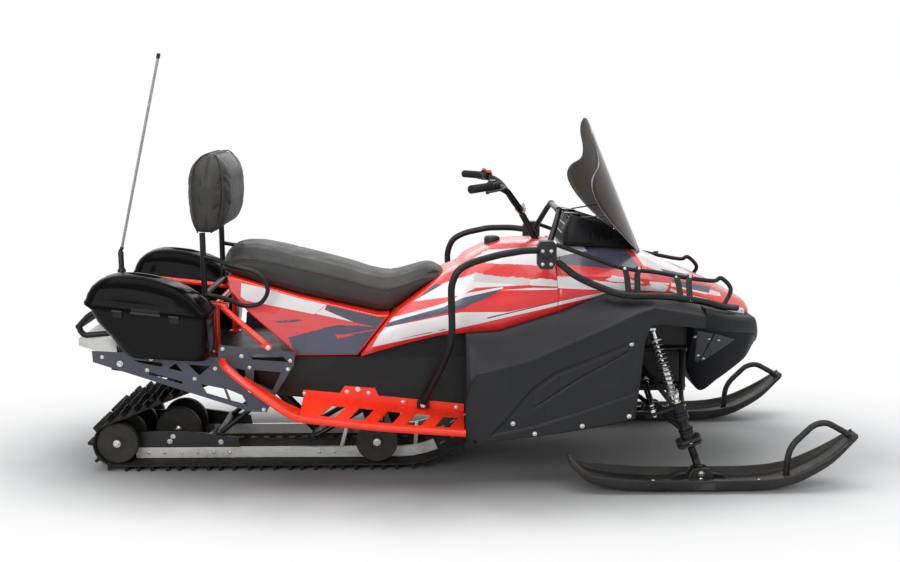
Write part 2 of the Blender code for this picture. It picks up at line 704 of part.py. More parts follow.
def make_case(side):
    outer = [
        case_ring(CASE_RIM[0][0], CASE_RIM[1][0], CASE_INNER_Y, CASE_OUTER_Y, rim_z),
        case_ring(-1.440, -0.993, CASE_INNER_Y + 0.002, CASE_OUTER_Y - 0.004,
                  lambda x: rim_z(x) - 0.030),
        case_ring(-1.340, -1.000, CASE_INNER_Y + 0.006, CASE_OUTER_Y - 0.024,
                  lambda x: case_base_z(x) + 0.018),
        case_ring(CASE_BASE_X[0], CASE_BASE_X[1], CASE_INNER_Y + 0.016, CASE_OUTER_Y - 0.040,
                  case_base_z),
    ]
    wall = CASE_WALL
    inner = [
        case_ring(CASE_RIM[0][0] + wall, CASE_RIM[1][0] - wall, CASE_INNER_Y + wall,
                  CASE_OUTER_Y - wall, rim_z),
        case_ring(-1.440 + wall, -0.993 - wall, CASE_INNER_Y + 0.002 + wall,
                  CASE_OUTER_Y - 0.004 - wall, lambda x: rim_z(x) - 0.030),
        case_ring(-1.340 + wall, -1.000 - wall, CASE_INNER_Y + 0.006 + wall,
                  CASE_OUTER_Y - 0.024 - wall, lambda x: case_base_z(x) + 0.020),
        case_ring(CASE_BASE_X[0] + wall, CASE_BASE_X[1] - wall, CASE_INNER_Y + 0.016 + wall,
                  CASE_OUTER_Y - 0.040 - wall, lambda x: case_base_z(x) + wall),
    ]
    tub = bowl([mirrored(ring, side) for ring in outer], [mirrored(ring, side) for ring in inner])
    middle, along = case_hinge()
    middle.y *= side
    pieces = [tub]
    for offset in (-0.110, 0.110):
        centre = middle + offset * along
        pieces.append(rod(centre - 0.020 * along, centre + 0.020 * along, CASE_HINGE_RADIUS))
        web = [centre - 0.020 * along, centre + 0.020 * along]
        ring = [[point + Vector((0, side * y, z)) for y, z in
                 ((0.0, -0.001), (0.0, -0.0045), (-0.0085, -0.012), (-0.0085, -0.001))]
                for point in web]
        pieces.append(loft(ring))
    part("case_" + side_name(side), join(pieces), "gloss_black")


def make_lid(side):
    seat = 2 * GAP

    def dome(share, drop):
        def height(x):
            low = rim_z(x) + seat + 0.022
            return low + share * (value_at(LID_TOP, x) - low) - drop
        return height

    def base(x):
        return rim_z(x) + seat

    rows = [
        (-1.456, -0.988, 0.000, base, 0.040),
        (-1.470, -0.984, -0.003, dome(0.0, 0.0), 0.044),
        (-1.462, -1.000, 0.010, dome(0.55, 0.0), 0.050),
        (-1.425, -1.060, 0.045, dome(0.92, 0.0), 0.050),
        (-1.370, -1.130, 0.075, dome(1.0, 0.0), 0.034),
    ]
    outer, inner = [], []
    for x_low, x_high, inset, height, corner in rows:
        low_y, high_y = CASE_INNER_Y + inset, CASE_OUTER_Y - inset
        outer.append(mirrored(case_ring(x_low, x_high, low_y, high_y, height, corner), side))
        drop = 0.0 if height is base else CASE_WALL

        def lower(x, height=height, drop=drop):
            return height(x) - drop

        inner.append(mirrored(case_ring(x_low + CASE_WALL, x_high - CASE_WALL, low_y + CASE_WALL,
                                        high_y - CASE_WALL, lower, corner), side))
    middle, along = case_hinge()
    middle.y *= side
    name = "lid_" + side_name(side)
    pieces = [bowl(outer, inner)]
    pieces.append(rod(middle - 0.060 * along, middle + 0.060 * along, CASE_HINGE_RADIUS))
    ring = [[point + Vector((0, side * y, z)) for y, z in
             ((0.0, 0.001), (0.0, 0.0045), (-0.009, 0.012), (-0.009, 0.001))]
            for point in (middle - 0.060 * along, middle + 0.060 * along)]
    pieces.append(loft(ring))
    part(name, join(pieces), "gloss_black", pivot_at(name + "_pivot", middle))


def make_backrest():
    post_foot = rack_z(BACKREST_X - FRAME_TUBE) + FRAME_TUBE + 2 * GAP
    pieces = []
    for side in (-1, 1):
        y = side * RACK_Y
        pieces.append(rod((BACKREST_X, y, post_foot),
                          (BACKREST_X, y, BACKREST_PAD_BASE_Z - GAP), FRAME_TUBE))
        loop = [(BACKREST_X, y, 0.905), (-0.985, side * 0.216, 0.892), (-0.930, side * 0.270, 0.880),
                (-0.812, side * 0.290, 0.855), (-0.764, side * 0.292, 0.785),
                (-0.797, side * 0.290, 0.724), (-0.870, side * 0.275, 0.708),
                (-0.960, side * 0.220, 0.735), (BACKREST_X, y, 0.745)]
        pieces.append(tube(eased(loop, 0.03), 0.009))
    pieces.append(rod((BACKREST_X, -RACK_Y, 0.745), (BACKREST_X, RACK_Y, 0.745), FRAME_TUBE))
    part("backrest_frame", join(pieces), "black_frame")
    sections = [(1.002, -1.072, -1.000, 0.214), (1.030, -1.088, -0.962, 0.224),
                (1.100, -1.100, -0.940, 0.226), (1.180, -1.105, -0.932, 0.224),
                (1.260, -1.095, -0.940, 0.210), (1.305, -1.065, -0.965, 0.175),
                (1.322, -1.030, -0.995, 0.120)]
    rings = []
    for z, x_low, x_high, half in sections:
        edge = 0.35 * (x_high - x_low)
        rings.append([(x_low, -half + edge, z), (x_low + edge, -half, z),
                      (x_high - edge, -half, z), (x_high, -half + edge, z),
                      (x_high, half - edge, z), (x_high - edge, half, z),
                      (x_low + edge, half, z), (x_low, half - edge, z)])
    part("backrest_pad", loft(rings), "vinyl")


def make_whip():
    foot = Vector((RACK_RAIL_REAR[0], 0, RACK_RAIL_REAR[1] + FRAME_TUBE + GAP))
    lean = Vector((0.241, 0, 1)).normalized()
    base = turned([(0.018, 0), (0.018, 0.05), (0.012, 0.06), (0.012, 0.13), (0.006, 0.14)],
                  foot, (0, 0, 1), 12)
    start = foot + Vector((0.0, 0, 0.120))
    length = (1.727 - start.z) / lean.z
    mast = turned([(0.0065, 0), (0.0065, length - 0.02), (0.008, length - 0.02), (0.008, length)],
                  start, lean, 8)
    part("whip_mast", join([base, mast]), "black_frame")


SEAT_TOP = [(-0.992, 0.860), (-0.982, 0.893), (-0.916, 0.940), (-0.835, 0.940), (-0.674, 0.901),
            (-0.460, 0.848), (-0.314, 0.804), (-0.202, 0.825), (-0.107, 0.847), (-0.062, 0.832)]


def make_seat():
    """The long cushion; its nose climbs the back of the tank."""
    stations = [(-0.990, 0.140), (-0.960, 0.185), (-0.835, 0.205), (-0.653, 0.205), (-0.460, 0.190),
                (-0.332, 0.180), (-0.279, 0.175), (-0.202, 0.160), (-0.107, 0.130), (-0.066, 0.100)]
    rings = []
    for x, half in stations:
        low = value_at(SEAT_BASE, x) + GAP
        top = value_at(SEAT_TOP, x)
        edge = max(low + 0.004, top - 0.056)
        shoulder = max(low + 0.005, top - 0.026)
        rings.append([(x, -half, low), (x, -half - 0.004, (low + edge) / 2), (x, -half, edge),
                      (x, -half + 0.035, shoulder), (x, -0.35 * half, top), (x, 0.35 * half, top),
                      (x, half - 0.035, shoulder), (x, half, edge),
                      (x, half + 0.004, (low + edge) / 2), (x, half, low)])
    part("seat", loft(rings), "vinyl")


def make_rear_cowl():
    """Painted body under the seat, its sides leaning in towards the top."""
    outline = [(-0.947, 0.828), (-0.653, 0.742), (-0.332, 0.665), (-0.284, 0.665),
               (-0.415, 0.4925), (-0.415, TUNNEL_TOP + GAP), (-0.675, TUNNEL_TOP + GAP),
               (-0.675, 0.515), (-0.863, 0.680), (-0.941, 0.772)]
    outline.remove((-0.415, 0.4925))
    body = prism(outline, -0.5, 0.5)
    for vertex in body.data.vertices:
        half = 0.270 - 0.14 * (vertex.co.z - 0.5)
        vertex.co.y = math.copysign(half, vertex.co.y)
    part("rear_cowl", body, "painted_body")


def body_ring(x, half_section):
    """A closed section from its right half, listed from the bottom edge to the top edge."""
    right = [(x, -y, z) for y, z in half_section]
    left = [(x, y, z) for y, z in reversed(half_section)]
    return right + left


def make_tank_cowl():
    """Painted front body over the tank, behind the hood."""
    waist = PAINT_HALF_WIDTH - 0.004
    table = [  # x, half width and height of waist, shoulder and crown
        (-0.420, waist, 0.600, 0.240, 0.735, 0.110, 0.790),
        (-0.060, waist, 0.680, 0.225, 0.785, 0.110, 0.827),
        (0.050, waist, 0.700, 0.215, 0.855, 0.100, 0.893),
        (0.170, waist, 0.720, 0.210, 0.895, 0.095, 0.942),
        (0.300, waist, 0.760, 0.205, 0.912, 0.105, 0.950),
        (PANEL_SPLIT_X - GAP, waist, 0.780, 0.200, 0.920, 0.120, 0.942),
    ]
    rings = []
    for x, waist_y, waist_z, shoulder_y, shoulder_z, crown_y, crown_z in table:
        rings.append(body_ring(x, [(PAINT_HALF_WIDTH, 0.45), (PAINT_HALF_WIDTH, value_at(DECK, x)),
                                   (waist_y, waist_z), (shoulder_y, shoulder_z),
                                   (crown_y, crown_z)]))
    body = loft(rings)
    edge = PANEL_SPLIT_X + 0.1
    keep = ([(-0.400, 0.5135), (-0.2787, 0.6647), (-0.054, 0.8236), (-0.054, 1.1), (edge, 1.1)]
            + between(DECK, -0.400, edge)[::-1])
    keep.pop()
    body = combine(body, [prism(keep, -0.5, 0.5)], "INTERSECT")
    pocket = box((0.300, PANEL_SPLIT_X + 0.05), (-0.120, 0.120), (0.700, 1.2))
    neck = rod((CAP_X, 0, CAP_SEAT_Z), (CAP_X, 0, 1.2), CAP_RADIUS + 2 * GAP, 16)
    part("tank_cowl", cut(body, [pocket, neck]), "painted_body")


def make_fuel_cap():
    depth = CAP_TOP_Z - CAP_SEAT_Z - GAP
    profile = [(CAP_RADIUS, 0), (CAP_RADIUS, depth - 0.006), (CAP_RADIUS - 0.004, depth)]
    cap = turned(profile, (CAP_X, 0, CAP_SEAT_Z + GAP), (0, 0, 1), 16)
    part("fuel_cap", cap, "black_plastic")


def column_axis():
    """Unit vector up the steering column."""
    return Vector((-math.sin(COLUMN_LEAN), 0, math.cos(COLUMN_LEAN)))


def make_column_support():
    block = box((0.300 + GAP, PANEL_SPLIT_X - GAP), (-0.120 + GAP, 0.120 - GAP),
                (0.700 + GAP, 0.935))
    axis = column_axis()
    foot = COLUMN_TOP - axis * ((COLUMN_TOP.z - 0.862) / axis.z)
    bore = rod(foot, COLUMN_TOP, COLUMN_RADIUS + 2 * GAP, 12)
    part("column_support", cut(block, [bore]), "black_plastic")


HOOD_STATIONS = [  # x, taper at the deck and at the waist, waist z, shoulder y and z
    (PANEL_SPLIT_X + GAP, 0.000, 0.004, 0.780, 0.200, 0.944),
    (0.585, 0.008, 0.014, 0.820, 0.200, 0.939),
    (0.751, 0.018, 0.028, 0.820, 0.190, 0.914),
    (0.835, 0.028, 0.038, 0.800, 0.185, 0.876),
    (1.056, 0.078, 0.084, 0.722, 0.155, 0.782),
    (1.213, 0.180, 0.188, 0.668, 0.100, 0.701),
    (1.245, 0.245, 0.248, 0.656, 0.050, 0.674),
]
HOOD_TABLE = [(x, PAINT_HALF_WIDTH - rim, PAINT_HALF_WIDTH - waist, *rest)
              for x, rim, waist, *rest in HOOD_STATIONS]
HOOD_TOP = [(row[0], row[5]) for row in HOOD_TABLE]
HOOD_RIM = [(row[0], row[1]) for row in HOOD_TABLE]


def at_deck_corners(table):
    """The table's rows with more worked out in between, one at each corner of the deck line."""
    places = {row[0] for row in table}
    places |= {x for x, _ in DECK if table[0][0] < x < table[-1][0]}
    columns = [[(row[0], row[column]) for row in table] for column in range(1, len(table[0]))]
    return [(x, *(value_at(column, x) for column in columns)) for x in sorted(places)]


def hood_rings(wall):
    """Sections of the hood, moved inwards by a wall; an inner set runs on below the deck."""
    rings = []
    for x, rim_y, waist_y, waist_z, shoulder_y, shoulder_z in at_deck_corners(HOOD_TABLE):
        bottom = value_at(DECK, x) if wall == 0 else value_at(DECK, x) - 0.1
        if wall:
            x = min(x, HOOD_TABLE[-1][0] - 2 * wall)
        rings.append(body_ring(x, [(rim_y - wall, bottom), (rim_y - wall, value_at(DECK, x)),
                                   (waist_y - wall, waist_z), (shoulder_y - wall * 0.6,
                                                               shoulder_z - wall)]))
    if wall:
        first = [(x - 0.05, y, z) for x, y, z in rings[0]]
        rings[0] = first
    return rings


def make_hood():
    outer = []
    for ring in hood_rings(0):
        outer.append([ring[0]] + ring[2:-2] + [ring[-1]])
    shell = cut(loft(outer), [loft(hood_rings(HOOD_WALL))])
    part("hood", shell, "painted_body")


def cover_top(x):
    """Height of the side cover's outer top edge."""
    line = [(0.0265, 0.360), (0.041, 0.422), (0.073, 0.467), (0.279, 0.523), (0.554, 0.643),
            (0.710, 0.715), (0.769, 0.735), (0.975, 0.700)]
    return value_at(line, x)


def make_side_cover(side):
    """The big black side pod: outer wall, ledge under the painted panels, arch over the ski."""
    rings = []
    for x in (COVER_REAR_X, 0.041, 0.073, 0.166, 0.279, 0.408, 0.554, 0.589, 0.710, 0.736, 0.769,
              0.900, COVER_FRONT_X):
        ledge = value_at(DECK, x) - GAP
        top = min(cover_top(x), ledge - 0.004)
        rings.append([(x, side * y, z) for y, z in (
            (0.425, 0.150), (0.440, top), (0.335, ledge), (SHROUD_HALF_WIDTH + GAP, ledge),
            (SHROUD_HALF_WIDTH + GAP, ledge - COVER_WALL), (0.330, ledge - COVER_WALL),
            (0.427, top - COVER_WALL), (0.413, 0.150))])
    sheet = loft(rings)
    keep = [(0.0, 0.189), (0.124, 0.178), (0.406, 0.214), (0.567, 0.242), (0.708, 0.273),
            (0.722, 0.356), (0.735, 0.561), (0.733, 0.620), (0.760, 0.660), (0.800, 0.664),
            (COVER_FRONT_X + 0.1, 0.640), (COVER_FRONT_X + 0.1, 1.0), (0.0, 1.0)]
    sheet = combine(sheet, [prism(keep, -0.6, 0.6)], "INTERSECT")
    part("side_cover_" + side_name(side), sheet, "black_plastic")


def make_lower_shroud():
    """Black body between the tunnel and the painted panels."""
    top = between(raised(DECK, -GAP), -0.400, PANEL_SPLIT_X - GAP)
    outline = top + [(PANEL_SPLIT_X - GAP, TUNNEL_TOP + GAP), (-0.400, TUNNEL_TOP + GAP)]
    part("lower_shroud", prism(outline, -SHROUD_HALF_WIDTH, SHROUD_HALF_WIDTH), "black_plastic")


def make_nose_cowl():
    table = [  # x, drop below the deck line, half width, lower edge z, wall y and z, keel y and z
        (COVER_FRONT_X + GAP, GAP, 0.438, 0.643, 0.260, 0.620, 0.150, 0.400),
        (1.040, GAP, 0.410, 0.630, 0.250, 0.610, 0.130, 0.303),
        (1.120, GAP, 0.350, 0.612, 0.230, 0.600, 0.125, 0.352),
        (1.200, GAP, 0.270, 0.592, 0.195, 0.582, 0.105, 0.405),
        (1.245, GAP, 0.205, 0.575, 0.165, 0.565, 0.085, 0.437),
        (1.275, 0.048, 0.140, 0.550, 0.115, 0.542, 0.055, 0.470),
        (1.296, 0.085, 0.075, 0.522, 0.062, 0.516, 0.030, 0.494),
    ]
    rings = []
    for x, drop, half, edge_z, wall_y, wall_z, keel_y, keel_z in at_deck_corners(table):
        top = value_at(DECK, x) - drop
        rings.append(body_ring(x, [(keel_y, keel_z), (wall_y, wall_z), (half, edge_z),
                                   (half, top)]))
    part("nose_cowl", loft(rings), "black_plastic")


def make_belly_pan():
    rear = TUNNEL_FRONT_X + GAP
    front = BULKHEAD_REAR_X
    pan = box((rear, front), (-SHROUD_HALF_WIDTH, SHROUD_HALF_WIDTH), (0.262, 0.330))
    hollow = box((rear + 0.004, front - 0.004), (-SHROUD_HALF_WIDTH + 0.004,
                                                 SHROUD_HALF_WIDTH - 0.004), (0.2997 - GAP, 0.5))
    part("belly_pan", cut(pan, [hollow]), "black_plastic")


def make_engine():
    block = box((0.404, BULKHEAD_REAR_X - 0.0045), (-0.200, 0.200), (0.2997, 0.690))
    part("engine", block, "steel")


def make_bulkhead():
    """Front subframe with the shock tower beam and the guide for the steering rack."""
    block = box((BULKHEAD_REAR_X + GAP, BULKHEAD_FRONT_X),
                (-BULKHEAD_HALF_WIDTH, BULKHEAD_HALF_WIDTH), (BULKHEAD_BASE_Z, SHOCK_TOWER_Z))
    beam = box((0.765, 0.815), (-0.335, 0.335), (SHOCK_TOWER_Z - GAP, SHOCK_TOWER_Z + 0.030))
    guide = rod((RACK_X, -0.3, RACK_Z), (RACK_X, 0.3, RACK_Z), RACK_RADIUS + 2 * GAP, 12)
    part("bulkhead", cut(join([block, beam]), [guide]), "black_frame")


def kingpin_axis():
    return Vector((-math.sin(KINGPIN_LEAN), 0, math.cos(KINGPIN_LEAN)))


def kingpin_point(distance, side):
    point = KINGPIN_FOOT + distance * kingpin_axis()
    point.y = side * KINGPIN_Y
    return point


def make_arm(name, side, pivot_xs, pivot_z, eye_at):
    """A two-legged wishbone from its pivot tube to the ring round the spindle."""
    eye = kingpin_point(eye_at, side)
    pivot_y = side * (BULKHEAD_HALF_WIDTH + ARM_TUBE_RADIUS + GAP)
    rear, front = pivot_xs
    ring = sleeve(eye, kingpin_axis(), SPINDLE_RADIUS + 2 * GAP, ARM_EYE_RADIUS, ARM_EYE_LENGTH)
    pieces = [ring, rod((rear, pivot_y, pivot_z), (front, pivot_y, pivot_z), ARM_TUBE_RADIUS)]
    for x in (rear + 0.02, front - 0.02):
        start = Vector((x, pivot_y, pivot_z))
        reach = eye - start
        end = eye - reach.normalized() * (ARM_EYE_RADIUS - 0.006)
        pieces.append(rod(start, end, ARM_TUBE_RADIUS - 0.001))
    return pieces


def socket(side, eye_at):
    """The room that a wishbone leaves round the spindle and its collars."""
    half = ARM_EYE_LENGTH / 2 - 0.001
    bore = SPINDLE_RADIUS + 2 * GAP
    wide = ARM_EYE_RADIUS - 0.0005
    profile = [(wide, -0.07), (wide, -half), (bore, -half), (bore, half), (wide, half),
               (wide, 0.07)]
    return turned(profile, kingpin_point(eye_at, side), kingpin_axis(), 16)


SHOCK_FOOT_Y = 0.330
SHOCK_FOOT_RADIUS = 0.009
SHOCK_EYE_RADIUS = 0.013


def lower_arm_height(side):
    """Height of the lower arm's legs where the shock stands on them."""
    eye = kingpin_point(LOWER_EYE_AT, side)
    pivot_y = BULKHEAD_HALF_WIDTH + ARM_TUBE_RADIUS + GAP
    share = (SHOCK_FOOT_Y - pivot_y) / (KINGPIN_Y - pivot_y)
    return LOWER_PIVOT_Z + share * (eye.z - LOWER_PIVOT_Z)


def make_arms(side):
    lower = make_arm("lower", side, (0.690, 0.965), LOWER_PIVOT_Z, LOWER_EYE_AT)
    z = lower_arm_height(side)
    lower.append(rod((0.832, side * SHOCK_FOOT_Y, z), (0.926, side * SHOCK_FOOT_Y, z),
                     SHOCK_FOOT_RADIUS))
    lower_arm = cut(join(lower), [socket(side, LOWER_EYE_AT)])
    part("lower_arm_" + side_name(side), lower_arm, "black_frame")
    upper = make_arm("upper", side, (0.700, 0.965), UPPER_PIVOT_Z, UPPER_EYE_AT)
    upper_arm = cut(join(upper), [socket(side, UPPER_EYE_AT)])
    part("upper_arm_" + side_name(side), upper_arm, "black_frame")


def make_shock(side):
    """Damper with its coil spring as one turned body between two eyes."""
    foot_z = lower_arm_height(side) + SHOCK_FOOT_RADIUS + SHOCK_EYE_RADIUS + 2 * GAP
    foot = Vector((0.893, side * SHOCK_FOOT_Y, foot_z))
    head = Vector((0.790, side * 0.300, SHOCK_TOWER_Z - SHOCK_EYE_RADIUS - 2 * GAP))
    span = (head - foot).length
    profile = [(0.008, 0.004), (0.014, 0.03), (0.026, 0.05), (0.026, span - 0.06),
               (0.018, span - 0.03), (0.008, span - 0.004)]
    body = turned(profile, foot, head - foot, 12)
    eyes = [rod(point - Vector((0.014, 0, 0)), point + Vector((0.014, 0, 0)), SHOCK_EYE_RADIUS)
            for point in (foot, head)]
    part("shock_" + side_name(side), join([body] + eyes), "chrome")


def make_knuckle(side, pivot):
    """Spindle with its collars, the steering arm and its end pad."""
    axis = kingpin_axis()
    half_eye = ARM_EYE_LENGTH / 2 + 2 * GAP
    profile = [
        (SPINDLE_RADIUS - 0.003, -0.036), (SPINDLE_RADIUS, -0.030), (SPINDLE_RADIUS, 0.080),
        (0.026, 0.090), (0.026, LOWER_EYE_AT - half_eye), (SPINDLE_RADIUS, LOWER_EYE_AT - half_eye),
        (SPINDLE_RADIUS, LOWER_EYE_AT + half_eye), (0.024, LOWER_EYE_AT + half_eye),
        (0.024, UPPER_EYE_AT - half_eye), (SPINDLE_RADIUS, UPPER_EYE_AT - half_eye),
        (SPINDLE_RADIUS, UPPER_EYE_AT + half_eye), (0.026, UPPER_EYE_AT + half_eye),
        (0.026, STEER_ARM_AT + STEER_ARM_THICKNESS), (0.018, STEER_ARM_AT + 0.022),
    ]
    spindle = turned(profile, kingpin_point(0, side), axis, 16)
    back = Vector((-math.cos(KINGPIN_LEAN), 0, -math.sin(KINGPIN_LEAN)))
    root = kingpin_point(STEER_ARM_AT, side)
    tip = root + back * STEER_ARM_LENGTH
    sideways = Vector((0, 1, 0))
    base = [root + sideways * 0.016, tip + sideways * 0.010, tip - sideways * 0.010,
            root - sideways * 0.016]
    arm = loft([base, [point + axis * STEER_ARM_THICKNESS for point in base]])
    pad = rod(tip, tip + axis * STEER_ARM_THICKNESS, 0.016, 12)
    part("knuckle_" + side_name(side), join([spindle, arm, pad]), "black_frame", pivot)


SKI_TABLE = [  # distance behind the tip, bottom z, wall height, share of the full half width
    (1.147, 0.102, 0.026, 0.57), (1.081, 0.042, 0.040, 0.89), (0.985, 0.016, 0.052, 1.0),
    (0.865, 0.003, 0.055, 1.0), (0.735, 0.000, 0.055, 1.0), (0.485, 0.000, 0.055, 1.0),
    (0.366, 0.004, 0.055, 1.0), (0.285, 0.018, 0.052, 0.99), (0.212, 0.043, 0.048, 0.95),
    (0.100, 0.108, 0.042, 0.80), (0.000, 0.200, 0.026, 0.48),
]


def make_ski(side, pivot):
    """Trough-shaped ski with a keel, the ears that hold the spindle's foot and the front loop."""
    rings = []
    for behind, bottom, wall, share in SKI_TABLE:
        x = HALF_LENGTH - behind
        half = SKI_HALF_WIDTH * share
        section = [(0.022, bottom), (half * 0.85, bottom + 0.010), (half, bottom + wall * 0.5),
                   (half, bottom + wall), (half - 0.010, bottom + wall), (half - 0.016, bottom + 0.022)]
        right = [(x, side * KINGPIN_Y - y, z) for y, z in section]
        left = [(x, side * KINGPIN_Y + y, z) for y, z in reversed(section)]
        rings.append(right + left)
    pieces = [loft(rings)]
    near = SPINDLE_RADIUS + GAP
    for way in (-1, 1):
        low = side * KINGPIN_Y + way * near
        high = side * KINGPIN_Y + way * (near + SKI_EAR_THICKNESS)
        ear = [(0.910, 0.015), (1.030, 0.015), (1.000, 0.085), (0.935, 0.085)]
        pieces.append(prism(ear, min(low, high), max(low, high)))
    y = side * KINGPIN_Y
    loop = [(HALF_LENGTH - behind, y, z) for behind, z in
            ((0.267, 0.030), (0.261, 0.160), (0.165, 0.256), (0.115, 0.266), (0.035, 0.222),
             (0.019, 0.205))]
    pieces.append(tube(eased(loop, 0.05), SKI_LOOP_RADIUS, 10))
    part("ski_" + side_name(side), join(pieces), "black_plastic", pivot)


def make_tie_rods():
    """The steering rack with a rod out to each knuckle, ending over the arm's pad."""
    axis = kingpin_axis()
    back = Vector((-math.cos(KINGPIN_LEAN), 0, -math.sin(KINGPIN_LEAN)))
    lift = STEER_ARM_AT + STEER_ARM_THICKNESS + ROD_END_GAP
    pieces = [rod((RACK_X, -0.225, RACK_Z), (RACK_X, 0.225, RACK_Z), RACK_RADIUS)]
    for side in (-1, 1):
        end = kingpin_point(lift, side) + back * STEER_ARM_LENGTH
        pieces.append(rod(end, end + axis * 0.014, 0.014, 12))
        pieces.append(rod((RACK_X, side * 0.222, RACK_Z), end + axis * 0.009, 0.008))
    pivot = pivot_at("tie_rods_pivot", (RACK_X, 0, RACK_Z))
    part("tie_rods", join(pieces), "chrome", pivot)


def make_handlebar():
    """Bar, grips, clamp, controls and the column down into its bearing."""
    axis = column_axis()
    pivot = pivot_at("handlebar_pivot", COLUMN_TOP)
    clamp = COLUMN_TOP + axis * 0.030
    right = [(0.045, -0.405, 1.196), (0.145, -0.270, 1.198), (0.195, -0.195, 1.180),
             (clamp.x, -0.075, clamp.z + 0.008)]
    path = right + [(x, -y, z) for x, y, z in reversed(right)]
    pieces = [tube(eased(path, 0.04), BAR_RADIUS)]
    for side in (-1, 1):
        start = Vector((0.043, side * 0.4077, 1.196))
        end = Vector((0.120, side * 0.304, 1.1975))
        pieces.append(rod(start, end, 0.017, 12))
        hub = Vector((0.152, side * 0.262, 1.196))
        along = (end - start).normalized()
        pieces.append(rod(end + along * 0.004, hub, 0.022, 12))
        lever = [hub + Vector((0.010, 0, -0.004)), hub + Vector((0.030, side * 0.020, -0.008)),
                 Vector((0.110, side * 0.370, 1.180))]
        pieces.append(tube(eased(lever, 0.02), 0.005, 8))
    pieces.append(rod((clamp.x, -0.040, clamp.z + 0.008), (clamp.x, 0.040, clamp.z + 0.008),
                      0.021, 12))
    foot = COLUMN_TOP - axis * ((COLUMN_TOP.z - 0.870) / axis.z)
    pieces.append(rod(foot, clamp, COLUMN_RADIUS, 12))
    part("handlebar", join(pieces), "black_frame", pivot)


SCREEN_OUTLINE = [(0.150, 0.900), (0.215, 0.940), (0.267, 0.976), (0.340, 1.056), (0.376, 1.136),
                  (0.372, 1.200), (0.330, 1.245), (0.250, 1.280), (0.200, 1.330), (0.165, 1.400),
                  (0.115, 1.440), (0.045, 1.461)]


def screen_slab(front, back, columns=15, half=0.390):
    """A slab that follows the whole screen surface, from in front of its outer face to behind it."""
    rings = []
    for z in (0.860, 1.480):
        middle = SCREEN_FOOT[0] + SCREEN_SLOPE * (z - SCREEN_FOOT[1])
        ys = [half * (2 * index / (columns - 1) - 1) for index in range(columns)]
        arc = [middle - SCREEN_BEND_RADIUS + math.sqrt(SCREEN_BEND_RADIUS ** 2 - y * y) for y in ys]
        outer = [(x + front, y, z) for x, y in zip(arc, ys)]
        inner = [(x - back, y, z) for x, y in zip(arc, ys)]
        rings.append(outer + inner[::-1])
    return loft(rings)


def above_hood(shape, gap):
    """The shape without what lies below the hood's top line, raised by a gap."""
    line = raised(HOOD_TOP, gap)
    outline = [(line[0][0], 0.6)] + line + [(line[-1][0], 0.6)]
    return cut(shape, [prism(outline, -0.5, 0.5)])


def make_windshield():
    right = [(-y, z) for y, z in SCREEN_OUTLINE]
    left = [(y, z) for y, z in reversed(SCREEN_OUTLINE)]
    outline = loft([[(x, y, z) for y, z in right + left] for x in (0.2, 1.0)])
    screen = combine(screen_slab(0, SCREEN_THICKNESS), [outline], "INTERSECT")
    part("windshield", above_hood(screen, 2 * GAP), "smoked_glass")


def make_dash():
    """Instrument cowl that stands on the hood, its front cut to the screen."""
    table = [(0.432, 0.200, 0.985), (0.468, 0.215, 1.070), (0.512, 0.215, 1.060),
             (0.617, 0.170, 1.030), (0.700, 0.130, 0.972), (0.785, 0.085, 0.925)]
    rings = []
    for x, half, top in table:
        rings.append(body_ring(x, [(min(half, 0.185), 0.880), (half, 0.960),
                                   (half - 0.030, top)]))
    body = cut(loft(rings), [screen_slab(0.200, SCREEN_THICKNESS + GAP)])
    part("dash", above_hood(body, GAP), "black_plastic")


def make_guard_bar(side):
    """Side guard hoop from the foot board to its bracket by the dash."""
    inner = TUNNEL_HALF_WIDTH + GAP + BOARD_SHEET + GAP
    path = [(-0.147, 0.303, 0.305), (-0.073, 0.375, 0.473), (-0.040, 0.425, 0.570),
            (-0.030, 0.447, 0.640), (-0.034, 0.447, 0.826), (-0.010, 0.446, 0.885),
            (0.045, 0.443, 0.915), (0.156, 0.420, 0.942),
            (0.260, PAINT_HALF_WIDTH + 0.035, 0.950), (0.330, PAINT_HALF_WIDTH + 0.002, 0.945)]
    pieces = [tube(eased([(x, side * y, z) for x, y, z in path], 0.04), GUARD_TUBE)]
    pieces.append(box(GUARD_BRACKET_X, (side * GUARD_BRACKET_Y[0], side * GUARD_BRACKET_Y[1]),
                      GUARD_BRACKET_Z))
    pieces.append(box((-0.172, -0.122), (side * inner, side * (inner + 0.020)), (0.2895, 0.325)))
    part("guard_bar_" + side_name(side), join(pieces), "black_frame")


def make_steering_hoop():
    """Transverse hoop in front of the column, from bracket to bracket."""
    reach = GUARD_BRACKET_Y[0] - GAP
    right = [(0.350, -reach, 0.940), (0.350, 0.014 - reach, 0.940), (0.368, 0.030 - reach, 0.968),
             (0.418, -0.165, 1.085)]
    path = right + [(x, -y, z) for x, y, z in reversed(right)]
    part("steering_hoop", tube(eased(path, 0.035), GUARD_TUBE - 0.002), "black_frame")


